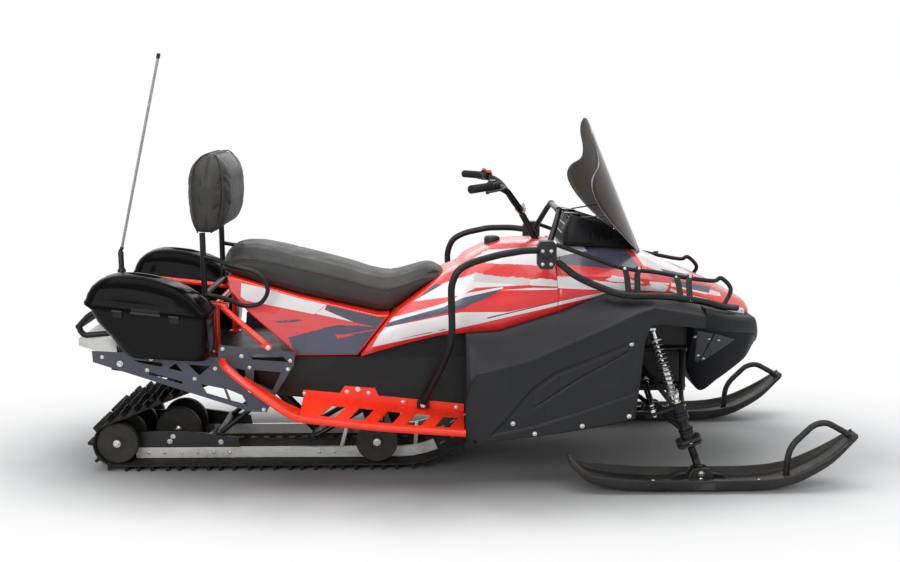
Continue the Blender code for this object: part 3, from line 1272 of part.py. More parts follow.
def make_front_guard(side):
    start = GUARD_BRACKET_X[1] + GAP
    # x, how far outside the painted half width, z
    lower = [(start, 0.002, 0.890), (start + 0.015, 0.002, 0.890), (0.470, 0.020, 0.842),
             (0.580, 0.042, 0.795), (0.670, 0.058, 0.772), (0.822, 0.066, 0.768),
             (0.980, 0.040, 0.741), (1.070, -0.010, 0.712), (1.150, -0.090, 0.690)]
    upper = [(start, 0.002, 0.963), (start + 0.012, 0.002, 0.963), (0.542, 0.002, 0.912),
             (0.659, 0.000, 0.872), (0.791, -0.004, 0.855), (0.909, -0.012, 0.832),
             (1.034, -0.040, 0.812), (1.070, -0.046, 0.822), (1.112, -0.050, 0.775),
             (1.080, -0.024, 0.716)]

    def beside_paint(x, out, z):
        return x, side * (PAINT_HALF_WIDTH + out), z

    pieces = [tube([beside_paint(*point) for point in lower], GUARD_TUBE),
              tube([beside_paint(*point) for point in upper], 0.009, 8)]
    for x, high, low in ((0.690, (0.000, 0.868), (0.059, 0.772)),
                         (0.900, (-0.012, 0.833), (0.058, 0.756))):
        pieces.append(rod(beside_paint(x, *high), beside_paint(x, *low), 0.008, 8))
    part("front_guard_" + side_name(side), join(pieces), "black_frame")


def make_headlight(side):
    """Slim lamp strip on the deck beside the hood's rim."""
    rings = []
    for x in (1.056, 1.087, 1.150, 1.205):
        inner = value_at(HOOD_RIM, x) + 2 * GAP
        base = value_at(DECK, x) + GAP
        rings.append([(x, side * inner, base), (x, side * (inner + 0.022), base),
                      (x, side * (inner + 0.014), base + 0.018), (x, side * inner, base + 0.020)])
    part("headlight_" + side_name(side), loft(rings), "lamp")


def main():
    clear_scene()
    make_track()
    make_wheels()
    make_skid_frame()
    make_skid_arms()
    make_tunnel()
    make_rear_rack()
    make_rear_bumper()
    make_hitch_plate()
    make_tail_light()
    make_backrest()
    make_whip()
    make_seat()
    make_rear_cowl()
    make_tank_cowl()
    make_fuel_cap()
    make_column_support()
    make_hood()
    make_lower_shroud()
    make_nose_cowl()
    make_belly_pan()
    make_engine()
    make_bulkhead()
    make_tie_rods()
    make_handlebar()
    make_windshield()
    make_dash()
    make_steering_hoop()
    for side in (-1, 1):
        make_tail_plate(side)
        make_running_board(side)
        make_case(side)
        make_lid(side)
        make_side_cover(side)
        make_arms(side)
        make_shock(side)
        kingpin = pivot_at("kingpin_" + side_name(side), kingpin_point(0, side))
        make_knuckle(side, kingpin)
        make_ski(side, kingpin)
        make_guard_bar(side)
        make_front_guard(side)
        make_headlight(side)


main()
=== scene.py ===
"""A utility snowmobile in a plain studio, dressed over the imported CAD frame."""

import json
import math

import bmesh
import bpy
import numpy as np
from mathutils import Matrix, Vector
from mathutils.bvhtree import BVHTree


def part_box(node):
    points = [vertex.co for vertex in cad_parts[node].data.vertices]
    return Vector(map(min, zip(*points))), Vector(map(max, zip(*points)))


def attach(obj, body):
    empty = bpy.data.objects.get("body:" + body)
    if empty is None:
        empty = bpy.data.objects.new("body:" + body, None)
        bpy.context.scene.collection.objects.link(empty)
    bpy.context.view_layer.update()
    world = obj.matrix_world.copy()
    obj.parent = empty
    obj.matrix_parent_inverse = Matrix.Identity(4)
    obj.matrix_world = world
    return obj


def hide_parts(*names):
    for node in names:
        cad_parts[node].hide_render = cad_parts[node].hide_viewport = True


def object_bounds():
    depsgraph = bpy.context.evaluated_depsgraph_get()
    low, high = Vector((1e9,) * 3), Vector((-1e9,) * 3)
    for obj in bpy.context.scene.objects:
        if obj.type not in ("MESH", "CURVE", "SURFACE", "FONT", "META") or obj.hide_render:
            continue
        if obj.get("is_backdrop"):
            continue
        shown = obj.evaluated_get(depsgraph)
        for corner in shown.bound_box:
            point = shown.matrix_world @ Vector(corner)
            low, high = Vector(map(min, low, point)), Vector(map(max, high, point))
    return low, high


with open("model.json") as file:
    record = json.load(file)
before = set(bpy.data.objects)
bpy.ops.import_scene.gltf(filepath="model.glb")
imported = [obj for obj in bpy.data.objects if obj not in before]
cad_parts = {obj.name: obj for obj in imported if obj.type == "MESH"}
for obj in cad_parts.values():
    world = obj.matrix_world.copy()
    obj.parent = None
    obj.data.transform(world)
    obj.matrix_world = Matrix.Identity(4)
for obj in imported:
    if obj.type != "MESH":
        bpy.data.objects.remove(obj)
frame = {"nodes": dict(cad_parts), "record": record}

cad_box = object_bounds()
nodes = frame["nodes"]


# node trees
class Tree:
    """A node tree with small helpers; a socket takes a number, a colour or another node's output."""

    def __init__(self, tree):
        self.tree = tree

    def put(self, value, socket):
        if isinstance(value, bpy.types.NodeSocket):
            self.tree.links.new(value, socket)
        elif socket.type == "RGBA":
            socket.default_value = (*value, 1)
        else:
            socket.default_value = value

    def add(self, kind, sockets=None, **settings):
        node = self.tree.nodes.new("ShaderNode" + kind)
        for key, value in settings.items():
            setattr(node, key, value)
        for key, value in (sockets or {}).items():
            self.put(value, node.inputs[key])
        return node

    def math(self, operation, *values):
        return self.add("Math", dict(enumerate(values)), operation=operation).outputs[0]

    def noise(self, scale, detail=3.0, stretch=None, roughness=0.55):
        source = self.coords
        if stretch:
            source = self.add("Mapping", {"Vector": source, "Scale": stretch}).outputs[0]
        sockets = {"Vector": source, "Scale": scale, "Detail": detail, "Roughness": roughness}
        return self.add("TexNoise", sockets).outputs["Fac"]

    def ramp(self, value, low, high, to_low=0.0, to_high=1.0, kind="SMOOTHSTEP"):
        sockets = {"Value": value, "From Min": low, "From Max": high, "To Min": to_low, "To Max": to_high}
        return self.add("MapRange", sockets, interpolation_type=kind).outputs[0]

    def mix(self, fac, first, second):
        """Two colours; the Mix node's sockets 0, 6 and 7 are its factor and its colours A and B."""
        return self.add("Mix", {0: fac, 6: first, 7: second}, data_type="RGBA", blend_type="MIX").outputs[2]

    def mix_shaders(self, fac, first, second, output):
        pick = self.add("MixShader", {0: fac, 1: first.outputs[0], 2: second.outputs[0]})
        self.put(pick.outputs[0], output.inputs["Surface"])


class Mat(Tree):
    """A Principled material with procedural detail in object coordinates, which are metres at rest."""

    def __init__(self, name, colour=(0.8, 0.8, 0.8), rough=0.5, metal=0.0, coat=0.0, alpha=1.0,
                 specular=0.5):
        self.made = bpy.data.materials.new(name)
        self.made.use_nodes = True
        super().__init__(self.made.node_tree)
        self.shader = self.tree.nodes["Principled BSDF"]
        self.coords = self.add("TexCoord").outputs["Object"]
        self.height = None
        self.shade({"Base Color": colour, "Roughness": rough, "Metallic": metal, "Alpha": alpha,
            "Specular IOR Level": specular, "Coat Weight": coat})
        if coat:
            self.shade({"Coat Roughness": 0.04})

    def shade(self, sockets):
        for key, value in sockets.items():
            self.put(value, self.shader.inputs[key])

    def split(self):
        return self.add("SeparateXYZ", {0: self.coords}).outputs

    def bump(self, height, distance, strength=1.0):
        node = self.add("Bump", {"Distance": distance, "Strength": strength, "Height": height})
        if self.height:
            self.put(self.height, node.inputs["Normal"])
        self.height = node.outputs["Normal"]
        self.shade({"Normal": self.height})


# camera, lamps and floor
def aim(thing, direction):
    bpy.context.scene.collection.objects.link(thing)
    thing.rotation_mode = "QUATERNION"
    thing.rotation_quaternion = Vector(direction).to_track_quat("-Z", "Y")


def make_camera():
    data = bpy.data.cameras.new("camera")
    data.sensor_width = 36.0
    data.lens = 42.2
    data.clip_start = 0.05
    camera = bpy.data.objects.new("camera", data)
    camera.location = (-0.117, -4.495, 1.565)
    pitch, yaw = math.radians(10.11), math.radians(1.11)
    aim(camera, (math.sin(yaw) * math.cos(pitch), math.cos(yaw) * math.cos(pitch), -math.sin(pitch)))
    bpy.context.scene.camera = camera


def area(name, place, target, size, watts):
    data = bpy.data.lights.new(name, "AREA")
    data.shape = "RECTANGLE"
    data.size, data.size_y = size
    data.energy = watts
    lamp = bpy.data.objects.new(name, data)
    lamp.location = place
    aim(lamp, Vector(target) - Vector(place))


def make_studio():
    """A pale world that the camera, glass and gloss see as white, and four soft boxes."""
    bpy.context.scene.view_settings.view_transform = "Standard"
    world = bpy.context.scene.world = bpy.data.worlds.new("studio")
    world.use_nodes = True
    world.node_tree.nodes.clear()
    tree = Tree(world.node_tree)
    rays = tree.add("LightPath").outputs
    seen = tree.math("MAXIMUM", rays["Is Camera Ray"], rays["Is Transmission Ray"])
    tree.mix_shaders(tree.math("MAXIMUM", seen, rays["Is Glossy Ray"]),
        tree.add("Background", {"Color": (0.93, 0.96, 1.0), "Strength": 0.34}),
        tree.add("Background", {"Color": (1, 1, 1), "Strength": 1.0}), tree.add("OutputWorld"))
    area("overhead", (0.0, -0.3, 3.6), (0, 0, 0.4), (5.0, 2.2), 92)
    area("key", (-2.4, -4.2, 2.6), (-0.2, 0, 0.6), (2.4, 2.0), 92)
    area("side_fill", (3.4, -3.2, 1.8), (0.6, 0, 0.5), (2.0, 2.0), 14)
    area("back_rim", (0.5, 3.4, 2.4), (0, 0, 0.7), (4.0, 1.5), 34)


def make_floor():
    """A floor with a painted shadow, dark grey in an oval round the object and paler away from it, which
    turns white further out, for the camera only.
    """
    bpy.ops.mesh.primitive_circle_add(vertices=96, radius=14, fill_type="NGON", location=(0, 0, -0.001))
    floor = bpy.context.object
    floor.name = "studio_floor"
    mat = Mat("studio_floor", rough=0.75, specular=0.2)
    oval_place = mat.add("VectorMath", {0: mat.coords, 1: (1 / 2.15, 1 / 0.95, 0)}, operation="MULTIPLY")
    far = mat.add("VectorMath", {0: oval_place.outputs[0]}, operation="LENGTH").outputs["Value"]
    # painted shadow: the floor's colour is dark grey near the object and pales with distance, its edge made
    # uneven by noise
    painted_shadow_reach = mat.math("MULTIPLY_ADD", mat.noise(2.5, 2.0, roughness=0.5), 0.16, far)
    mat.shade({"Base Color": mat.ramp(painted_shadow_reach, 0.45, 1.25, 0.21, 0.95)})
    camera_ray = mat.add("LightPath").outputs["Is Camera Ray"]
    mat.mix_shaders(mat.math("MULTIPLY", mat.ramp(far, 0.74, 1.45), camera_ray), mat.shader,
        mat.add("Emission", {"Color": (1, 1, 1)}), mat.tree.nodes["Material Output"])
    floor.data.materials.append(mat.made)
    floor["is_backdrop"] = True


make_camera()
make_studio()
make_floor()


# materials
def worn(name, colour, other, rough, metal, grain, patch, coat, spread, specular, alpha=1.0):
    """Two close colours in soft patches, a fine grain and a roughness that wanders."""
    mat = Mat(name, colour, rough, metal, coat, alpha, specular)
    mat.shade({"Base Color": mat.mix(mat.ramp(mat.noise(patch, 4), 0.35, 0.68), colour, other),
        "Roughness": mat.ramp(mat.noise(patch * 2.3, 5), 0.3, 0.7, rough - spread / 2, rough + spread / 2)})
    mat.bump(mat.noise(grain[0], 2), grain[1])
    return mat.made


M = {}
# name, two colours in thousandths, roughness, metal, the grain's scale and depth in mm, patch, coat,
# spread, specular and alpha
WORN = """body_plastic 7.5 8 9.5  12 12.5 14  0.5 0  1400 0.25  3 0 0.12 0.2
gloss_black 3 3 3  5 5 5  0.16 0  60 0.03  2 0 0.04 0.14
lid_black 3 3 3  5 5 5  0.14 0  60 0.03  2 0 0.04 0.03
powder_black 6 6 6  10 10 10  0.38 0  700 0.12  9 0 0.12 0.28
red_powder 1000 40 9  920 30 7  0.32 0  500 0.1  5 0.15 0.12 0.5
slate 50 58 72  62 70 86  0.48 0.15  1100 0.15  4 0 0.12 0.5
rubber 7 6.5 6  18 16 13  0.78 0  650 0.4  14 0 0.12 0.3
wheel 16 14.5 13  28 25 21  0.62 0  800 0.2  18 0 0.12 0.4
wheel_disc 10 9 8  21 18 15  0.55 0  700 0.2  22 0 0.12 0.5
silver 600 600 580  480 470 440  0.36 0.85  300 0.1  8 0 0.12 0.5
chrome 720 720 730  600 600 620  0.13 1  200 0.04  20 0 0.08 0.5
bolt 740 740 720  550 540 500  0.28 0.95  900 0.1  60 0 0.12 0.5
coil 300 300 310  160 160 170  0.24 0.85  500 0.1  30 0 0.1 0.5
dark_metal 35 35 36  70 68 65  0.4 0.6  500 0.3  16 0 0.12 0.5
ski_plastic 18 17.5 17  36 33 29  0.46 0  900 0.3  6 0 0.12 0.3
loop_wrap 7 7 7  14 14 14  0.6 0  900 0.7  40 0 0.12 0.5
pod 14.5 15 17  20 20.5 23  0.44 0  1300 0.25  3 0 0.12 0.26
nose_grey 45 47 53  60 62 69  0.5 0  1200 0.2  6 0 0.12 0.5
clamp 10 10 11  18 18 19  0.42 0  260 0.6  20 0 0.12 0.4
thread 35 34 33  50 48 46  0.7 0  2500 0.2  80 0 0.12 0.5
whip_light 100 100 95  50 50 48  0.3 0  1500 0.2  160 0 0.12 0.5
clear_rod 340 340 330  220 220 210  0.14 0  700 0.1  60 0 0.12 0.5 0.55
screen_rim 130 125 115  200 190 175  0.2 0  200 0.1  12 0.6 0.12 0.5
lens 800 820 840  700 720 750  0.12 0  60 0.2  30 1 0.04 0.5
red_lens 350 6 6  220 3 3  0.14 0  150 0.6  20 1 0.04 0.5"""
for line in WORN.split("\n"):
    name, *row = line.split()
    row = [float(number) for number in row]
    first, second = (tuple(number / 1000 for number in row[start:start + 3]) for start in (0, 3))
    M[name] = worn(name, first, second, row[6], row[7], (row[8], row[9] / 1000), *row[10:])


def rail_material():
    """Bare slide rails; the axle plates above them are coated black behind the front of the skid."""
    mat = Mat("rail", (0.7, 0.68, 0.62), 0.42, 0.65)
    streak = mat.ramp(mat.noise(60, 4, (0.6, 8, 14)), 0.3, 0.7)
    grime = mat.ramp(mat.noise(9, 5), 0.52, 0.75)
    base = mat.mix(streak, (0.82, 0.80, 0.76), (0.66, 0.63, 0.57))
    bare = mat.mix(mat.math("MULTIPLY", grime, 0.5), base, (0.30, 0.27, 0.23))
    x, _, z = mat.split()
    rail_top = 0.0755
    above = mat.ramp(z, rail_top, rail_top + 0.002, kind="LINEAR")
    coated = mat.math("MULTIPLY", above, mat.ramp(x, -0.330, -0.325, 1.0, 0.0, kind="LINEAR"))
    mat.shade({"Base Color": mat.mix(coated, bare, (0.010, 0.010, 0.010)),
        "Metallic": mat.math("MULTIPLY_ADD", coated, -0.65, 0.65),
        "Roughness": mat.ramp(mat.noise(30, 4, (1, 6, 6)), 0.3, 0.7, 0.34, 0.55)})
    mat.bump(mat.noise(220, 3, (0.4, 4, 6)), 0.00025)
    return mat.made


def vinyl_material():
    mat = Mat("vinyl", (0.02, 0.02, 0.02), 0.52, specular=0.45)
    shade = mat.ramp(mat.noise(4, 4), 0.35, 0.7)
    mat.shade({"Base Color": mat.mix(shade, (0.018, 0.017, 0.016), (0.028, 0.026, 0.024)),
        "Roughness": mat.ramp(mat.noise(11, 4), 0.3, 0.7, 0.46, 0.60)})
    cells = mat.add("TexVoronoi", {"Vector": mat.coords, "Scale": 330}, feature="DISTANCE_TO_EDGE")
    mat.bump(mat.ramp(cells.outputs["Distance"], 0.0, 0.09), 0.00035, 0.6)
    mat.bump(mat.noise(900, 2), 0.0001)
    mat.bump(mat.noise(16, 3), 0.0016, 0.7)
    return mat.made


def smoke_material():
    mat = Mat("smoked_screen", (0.045, 0.038, 0.031), 0.10, alpha=0.88, specular=0.10)
    shade = mat.ramp(mat.noise(3, 3), 0.3, 0.7)
    mat.shade({"Base Color": mat.mix(shade, (0.062, 0.046, 0.030), (0.044, 0.033, 0.022)),
        "Roughness": mat.ramp(mat.noise(25, 4), 0.3, 0.7, 0.05, 0.09)})
    return mat.made


M["rail"] = rail_material()
M["vinyl"] = vinyl_material()
M["smoke"] = smoke_material()

# finish of the CAD nodes, by their slot
FINISH = {"black_plastic": "body_plastic", "gloss_black": "gloss_black", "black_frame": "powder_black",
    "red_frame": "red_powder", "slate_plate": "slate", "painted_body": "red_powder", "vinyl": "vinyl",
    "rubber": "rubber", "aluminium": "rail", "silver_plate": "silver", "steel": "dark_metal",
    "chrome": "chrome", "smoked_glass": "smoke", "lamp": "lens", "red_lamp": "red_lens"}
for entry in frame["record"]["subparts"]:
    worn_slots = nodes[entry["node"]].data.materials
    worn_slots.clear()
    worn_slots.append(M[FINISH[entry["material_slot"]]])


# shapes as (points, faces), in metres in the frame's own axes
def mm(text):
    """Rows of numbers from a table in thousandths: millimetres, or shares of one."""
    return [tuple(float(number) / 1000 for number in row.split()) for row in text.split(",")]


def vec(*numbers):
    return Vector(numbers)


def merge(*shapes):
    points, faces = [], []
    for some_points, some_faces in shapes:
        start = len(points)
        points += [Vector(point) for point in some_points]
        faces += [tuple(index + start for index in face) for face in some_faces]
    return points, faces


def skin(rings, closed=False, caps=True):
    """Rings with the same number of points, joined in order."""
    count = len(rings[0])
    points = [Vector(point) for ring in rings for point in ring]
    faces = []
    for row in range(len(rings) if closed else len(rings) - 1):
        here, there = row * count, ((row + 1) % len(rings)) * count
        for index in range(count):
            after = (index + 1) % count
            faces.append((here + index, here + after, there + after, there + index))
    if caps and not closed:
        faces.append(tuple(range(count))[::-1])
        faces.append(tuple(range(len(points) - count, len(points))))
    return points, faces


def sheet(rows):
    """An open grid of points, as one sheet."""
    count = len(rows[0])
    faces = [(r * count + c, r * count + c + 1, (r + 1) * count + c + 1, (r + 1) * count + c)
        for r in range(len(rows) - 1) for c in range(count - 1)]
    return [Vector(point) for row in rows for point in row], faces


def catmull(before, start, end, after, share):
    return 0.5 * (2 * start + (end - before) * share + (2 * before - 5 * start + 4 * end - after)
        * share ** 2 + (3 * start - before - 3 * end + after) * share ** 3)


def smooth_path(path, steps=6, closed=False):
    """A path through the given points on a smooth curve."""
    points = [Vector(point) for point in path]
    count = len(points)
    result = []
    for index in range(count if closed else count - 1):
        def at(offset):
            spot = index + offset
            return points[spot % count if closed else min(max(spot, 0), count - 1)]
        for step in range(steps):
            result.append(catmull(at(-1), at(0), at(1), at(2), step / steps))
    if not closed:
        result.append(points[-1])
    return result


def refine(rings, steps=4):
    """More rings between the given ones, on smooth curves from ring to ring."""
    columns = [smooth_path([ring[index] for ring in rings], steps) for index in range(len(rings[0]))]
    return [[column[row] for column in columns] for row in range(len(columns[0]))]


def eased(path, radius, steps=6):
    """A path with its inner corners rounded."""
    points = [Vector(point) for point in path]
    result = [points[0]]
    for before, corner, after in zip(points, points[1:], points[2:]):
        back, ahead = before - corner, after - corner
        reach = min(radius, 0.45 * back.length, 0.45 * ahead.length)
        start, end = corner + reach * back.normalized(), corner + reach * ahead.normalized()
        for step in range(steps + 1):
            share = step / steps
            result.append((1 - share) ** 2 * start + 2 * share * (1 - share) * corner + share ** 2 * end)
    result.append(points[-1])
    return result


def across(axis):
    axis = Vector(axis).normalized()
    guide = vec(0, 1, 0) if abs(axis.y) < 0.9 else vec(1, 0, 0)
    first = guide.cross(axis).normalized()
    return first, axis.cross(first).normalized()


def circle(centre, radius, first, second, sides):
    turns = [2 * math.pi * n / sides for n in range(sides)]
    return [centre + radius * (math.cos(turn) * first + math.sin(turn) * second) for turn in turns]


def sweep(path, radius, sides=16, taper=None):
    """A round bar along a path; taper gives each point its own share of the radius."""
    points = [Vector(point) for point in path]
    first = None
    rings = []
    for index, point in enumerate(points):
        tangent = (points[min(index + 1, len(points) - 1)] - points[max(index - 1, 0)]).normalized()
        first = (first - first.dot(tangent) * tangent).normalized() if first else across(tangent)[0]
        size = radius * (taper[index] if taper else 1)
        rings.append(circle(point, size, first, tangent.cross(first), sides))
    return skin(rings)


def strap(path, width, thick, across_dir):
    """A flat bar along a path, its width along a fixed direction."""
    points = [Vector(point) for point in path]
    wide = Vector(across_dir).normalized()
    corners = ((-1, -1), (1, -1), (1, 1), (-1, 1))
    rings = []
    for index, point in enumerate(points):
        tangent = (points[min(index + 1, len(points) - 1)] - points[max(index - 1, 0)]).normalized()
        up = tangent.cross(wide).normalized()
        rings.append([point + a * width / 2 * wide + b * thick / 2 * up for a, b in corners])
    return skin(rings)


def lathe(profile, centre, axis, sides=32, closed=False):
    """(radius, distance along the axis) points turned about an axis."""
    axis = Vector(axis).normalized()
    first, second = across(axis)
    rings = [circle(Vector(centre) + along * axis, radius, first, second, sides)
        for radius, along in profile]
    return skin(rings, closed)


def rod(start, end, radius, sides=16, edge=0.0):
    length = (Vector(end) - Vector(start)).length
    profile = [(radius, 0), (radius, length)]
    if edge:
        profile = [(radius - edge, 0), (radius, edge), (radius, length - edge), (radius - edge, length)]
    return lathe(profile, start, Vector(end) - Vector(start), sides)


def extrude(outline, origin, u, v, depth):
    """A flat outline in the plane of u and v, drawn out along u x v, half of depth each way."""
    u, v, origin = Vector(u).normalized(), Vector(v).normalized(), Vector(origin)
    w = u.cross(v).normalized()
    rings = [[origin + a * u + b * v + side * depth / 2 * w for a, b in outline] for side in (-1, 1)]
    return skin(rings)


def prism(outline, low, high):
    return skin([[(x, y, z) for x, z in outline] for y in (low, high)])


def block(xs, ys, zs):
    return prism([(xs[0], zs[0]), (xs[1], zs[0]), (xs[1], zs[1]), (xs[0], zs[1])], min(ys), max(ys))


def bolt(place, normal, radius=0.006):
    """A button head on its washer, with a socket in the middle."""
    r = radius
    profile = [(1.45 * r, 0), (1.45 * r, 0.18 * r), (r, 0.2 * r), (0.96 * r, 0.5 * r), (0.72 * r, 0.78 * r),
        (0.45 * r, 0.86 * r), (0.42 * r, 0.4 * r)]
    return lathe(profile, place, normal, 12)


def nut(place, normal, radius=0.007):
    r = radius
    washer = lathe([(1.5 * r, 0), (1.5 * r, 0.2 * r)], place, normal, 16)
    head = lathe([(r, 0.2 * r), (r, 0.9 * r), (0.85 * r, 1.05 * r), (0.5 * r, 1.05 * r)], place, normal, 6)
    return merge(washer, head)


def spring(start, end, radius, wire, turns, sides=8, per_turn=20):
    start, end = Vector(start), Vector(end)
    axis = end - start
    first, second = across(axis)
    count = turns * per_turn
    path = [start + axis * (n / count) + radius * (math.cos(2 * math.pi * n / per_turn) * first
        + math.sin(2 * math.pi * n / per_turn) * second) for n in range(count + 1)]
    return sweep(path, wire, sides)


def mirrored(shape):
    points, faces = shape
    return [vec(p[0], -p[1], p[2]) for p in points], [face[::-1] for face in faces]


def on_side(shape, side):
    """A shape drawn for the left side, or its mirror image for the right one."""
    return shape if side > 0 else mirrored(shape)


def side_name(side):
    return "left" if side > 0 else "right"


def make(name, shape, key, smooth=38):
    """A mesh object from a shape, its faces turned outwards."""
    mesh = bpy.data.meshes.new(name)
    mesh.from_pydata([tuple(point) for point in shape[0]], [], shape[1])
    work = bmesh.new()
    work.from_mesh(mesh)
    bmesh.ops.remove_doubles(work, verts=work.verts, dist=1e-6)
    bmesh.ops.recalc_face_normals(work, faces=work.faces)
    work.to_mesh(mesh)
    work.free()
    mesh.shade_smooth()
    mesh.set_sharp_from_angle(angle=math.radians(smooth))
    thing = bpy.data.objects.new(name, mesh)
    bpy.context.scene.collection.objects.link(thing)
    mesh.materials.append(M[key])
    return thing


def modify(thing, kind, **settings):
    made = thing.modifiers.new(kind.lower(), kind)
    for key, value in settings.items():
        setattr(made, key, value)
    return made


def piece(name, shape, key, body="chassis", replaces=(), smooth=38, bevel=0.0, wall=0.0, slot=None):
    """One piece of the scene from a shape, or from a list of shapes."""
    thing = make(name, merge(*shape) if isinstance(shape, list) else shape, key, smooth)
    if wall:
        modify(thing, "SOLIDIFY", thickness=wall, offset=-1)
    if bevel:
        modify(thing, "BEVEL", width=bevel, segments=2, limit_method="ANGLE", angle_limit=math.radians(40),
            harden_normals=False)
    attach(thing, body)
    for node in replaces:
        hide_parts(node)
    return thing


def sided(name, shape, key, side, body=None, stands_for=None, **looks):
    """A piece drawn for the left side, made for one of the two sides."""
    end = "_" + side_name(side)
    shape = on_side(merge(*shape) if isinstance(shape, list) else shape, side)
    rider = body + end + "_body" if body else "chassis"
    piece(name + end, shape, key, rider, (stands_for + end,) if stands_for else (), **looks)


# paint: a plain layout of stripes and wedges, as convex outlines in the side view; each row is a
# colour, how ragged its edge is and the outline's x and z, all in millimetres
TINTS = {"red": (0.74, 0.026, 0.028), "bright": (0.86, 0.030, 0.012), "rose": (0.70, 0.072, 0.074),
    "white": (0.78, 0.74, 0.745), "silver": (0.60, 0.57, 0.57), "slate": (0.062, 0.070, 0.108),
    "ink": (0.012, 0.012, 0.016)}
REAR_PAINT = """slate 0: -700 577, -542 612, -320 606, -270 600, -380 470, -660 470
slate 9: -660 588, -500 628, -330 620, -330 600, -600 585
slate 8: -750 642, -660 650, -640 644, -740 636
red 4: -900 735, -720 697, -760 672, -860 680
slate 0: -535 714, -260 665, -334 615, -433 638, -548 689
slate 0: -560 735, -535 714, -260 665, -260 700, -500 760
white 0: -889 798, -745 769, -536 714, -593 671, -873 728, -892 744
white 0: -588 673, -541 707, -550 689
white 0: -588 673, -550 689, -433 639
bright 2: -507 587, -497 571, -427 585
rose 0: -500 578, -337 606, -337 609, -500 581"""
REAR_EDGE = mm("""-947 828, -653 742, -332 665, -284 665, -415 500.5, -675 500.5, -675 515, -863 680,
    -941 772, -947 828""")
FRONT_PAINT = """rose 0: -420 501, -361 562, -343 538, -360 500
white 0: -353 551, -308 628, 8 692, 51 663, 76 645
white 0: 8 692, 200 693.5, 120 668, 51 663
white 0: 51 663, 587 774, 604 767, 76 645
ink 0: 115 666.5, 467 750.5, 467 753, 115 671.5
ink 0: -235 585, -110 610, -110 613.5, -235 586.5
ink 0: -80 617, -55 622, -55 625, -80 620
slate 0: -308 628, -283 650, -50 714, -20 694
slate 0: -55 712, 10 745, 180 782, 146 761, -25 692
white 0: -286 649, -277 664, -61 722, -55 711
white 0: -61 710, -63 721, 27 762, 20 746
white 0: 10 744, 27 762, 180 789, 180 782
white 0: -195 724, -76 785, 71 838, 70 783, 3 751
slate 0: -215 712, -67 786, -160 790
silver 0: 60 782, 66 842, 300 826, 300 799
white 0: 290 826, 451 816, 600 790, 290 797
white 0: 60 783, 65 806, 200 800, 240 796
white 0: 170 776, 300 788, 600 790, 300 780
red 11: 54 838, 72 884, 183 874, 519 816, 200 826
white 6: 46 877, 126 917, 275 940, 420 930, 420 864
red 12: 260 868, 360 874, 420 866, 420 856, 300 856
rose 0: -75 806, 127 921, 127 1000, -75 1000
rose 0: 120 919, 420 942.5, 420 1000, 120 1000"""
FRONT_EDGE = mm("-400 513.5, -278.7 664.7, -54 823.6")
HOOD_PAINT = """red 0: 390 690, 700 760, 620 800, 390 806
white 0: 390 733, 587 774, 604 767, 390 718.5
ink 0: 390 732.5, 467 750.5, 467 753, 390 735
white 0: 390 790, 840 770, 860 800, 600 838, 390 842
red 4: 640 772, 820 758, 920 752, 860 768, 700 782
red 13: 390 838, 777 792, 781 825, 600 866, 390 888
white 10: 600 822, 700 806, 760 806, 620 838
slate 0: 390 880, 456 874, 600 862, 722 853, 753 870, 690 930, 530 960, 390 960
white 0: 390 901, 530 925, 500 960, 390 960
white 0: 760 868, 840 838, 980 804, 1000 830, 800 950, 705 950
red 0: 745 856, 768 850, 712 945, 684 945
slate 0: 835 850, 980 812, 970 798, 860 826
white 0: 860 770, 1020 720, 1100 700, 1100 740, 1000 775, 870 800
slate 0: 866 814, 1060 764, 1040 748, 900 786
bright 0: 831 800, 904 763, 1030 730, 1030 744
bright 0: 1020 732, 1250 645, 1250 690, 1030 746"""


def painted_edge_highlights(line, width):
    """Painted highlights along a panel's edge: a thin bright stripe for each straight stretch of a line."""
    result = []
    for (x0, z0), (x1, z1) in zip(line, line[1:]):
        length = math.hypot(x1 - x0, z1 - z0)
        ax, az = (x1 - x0) / length * width, (z1 - z0) / length * width
        result.append(("bright", 0.0, [(x0 - ax - az, z0 - az + ax), (x1 + ax - az, z1 + az + ax),
            (x1 + ax + az, z1 + az - ax), (x0 - ax + az, z0 - az - ax)]))
    return result


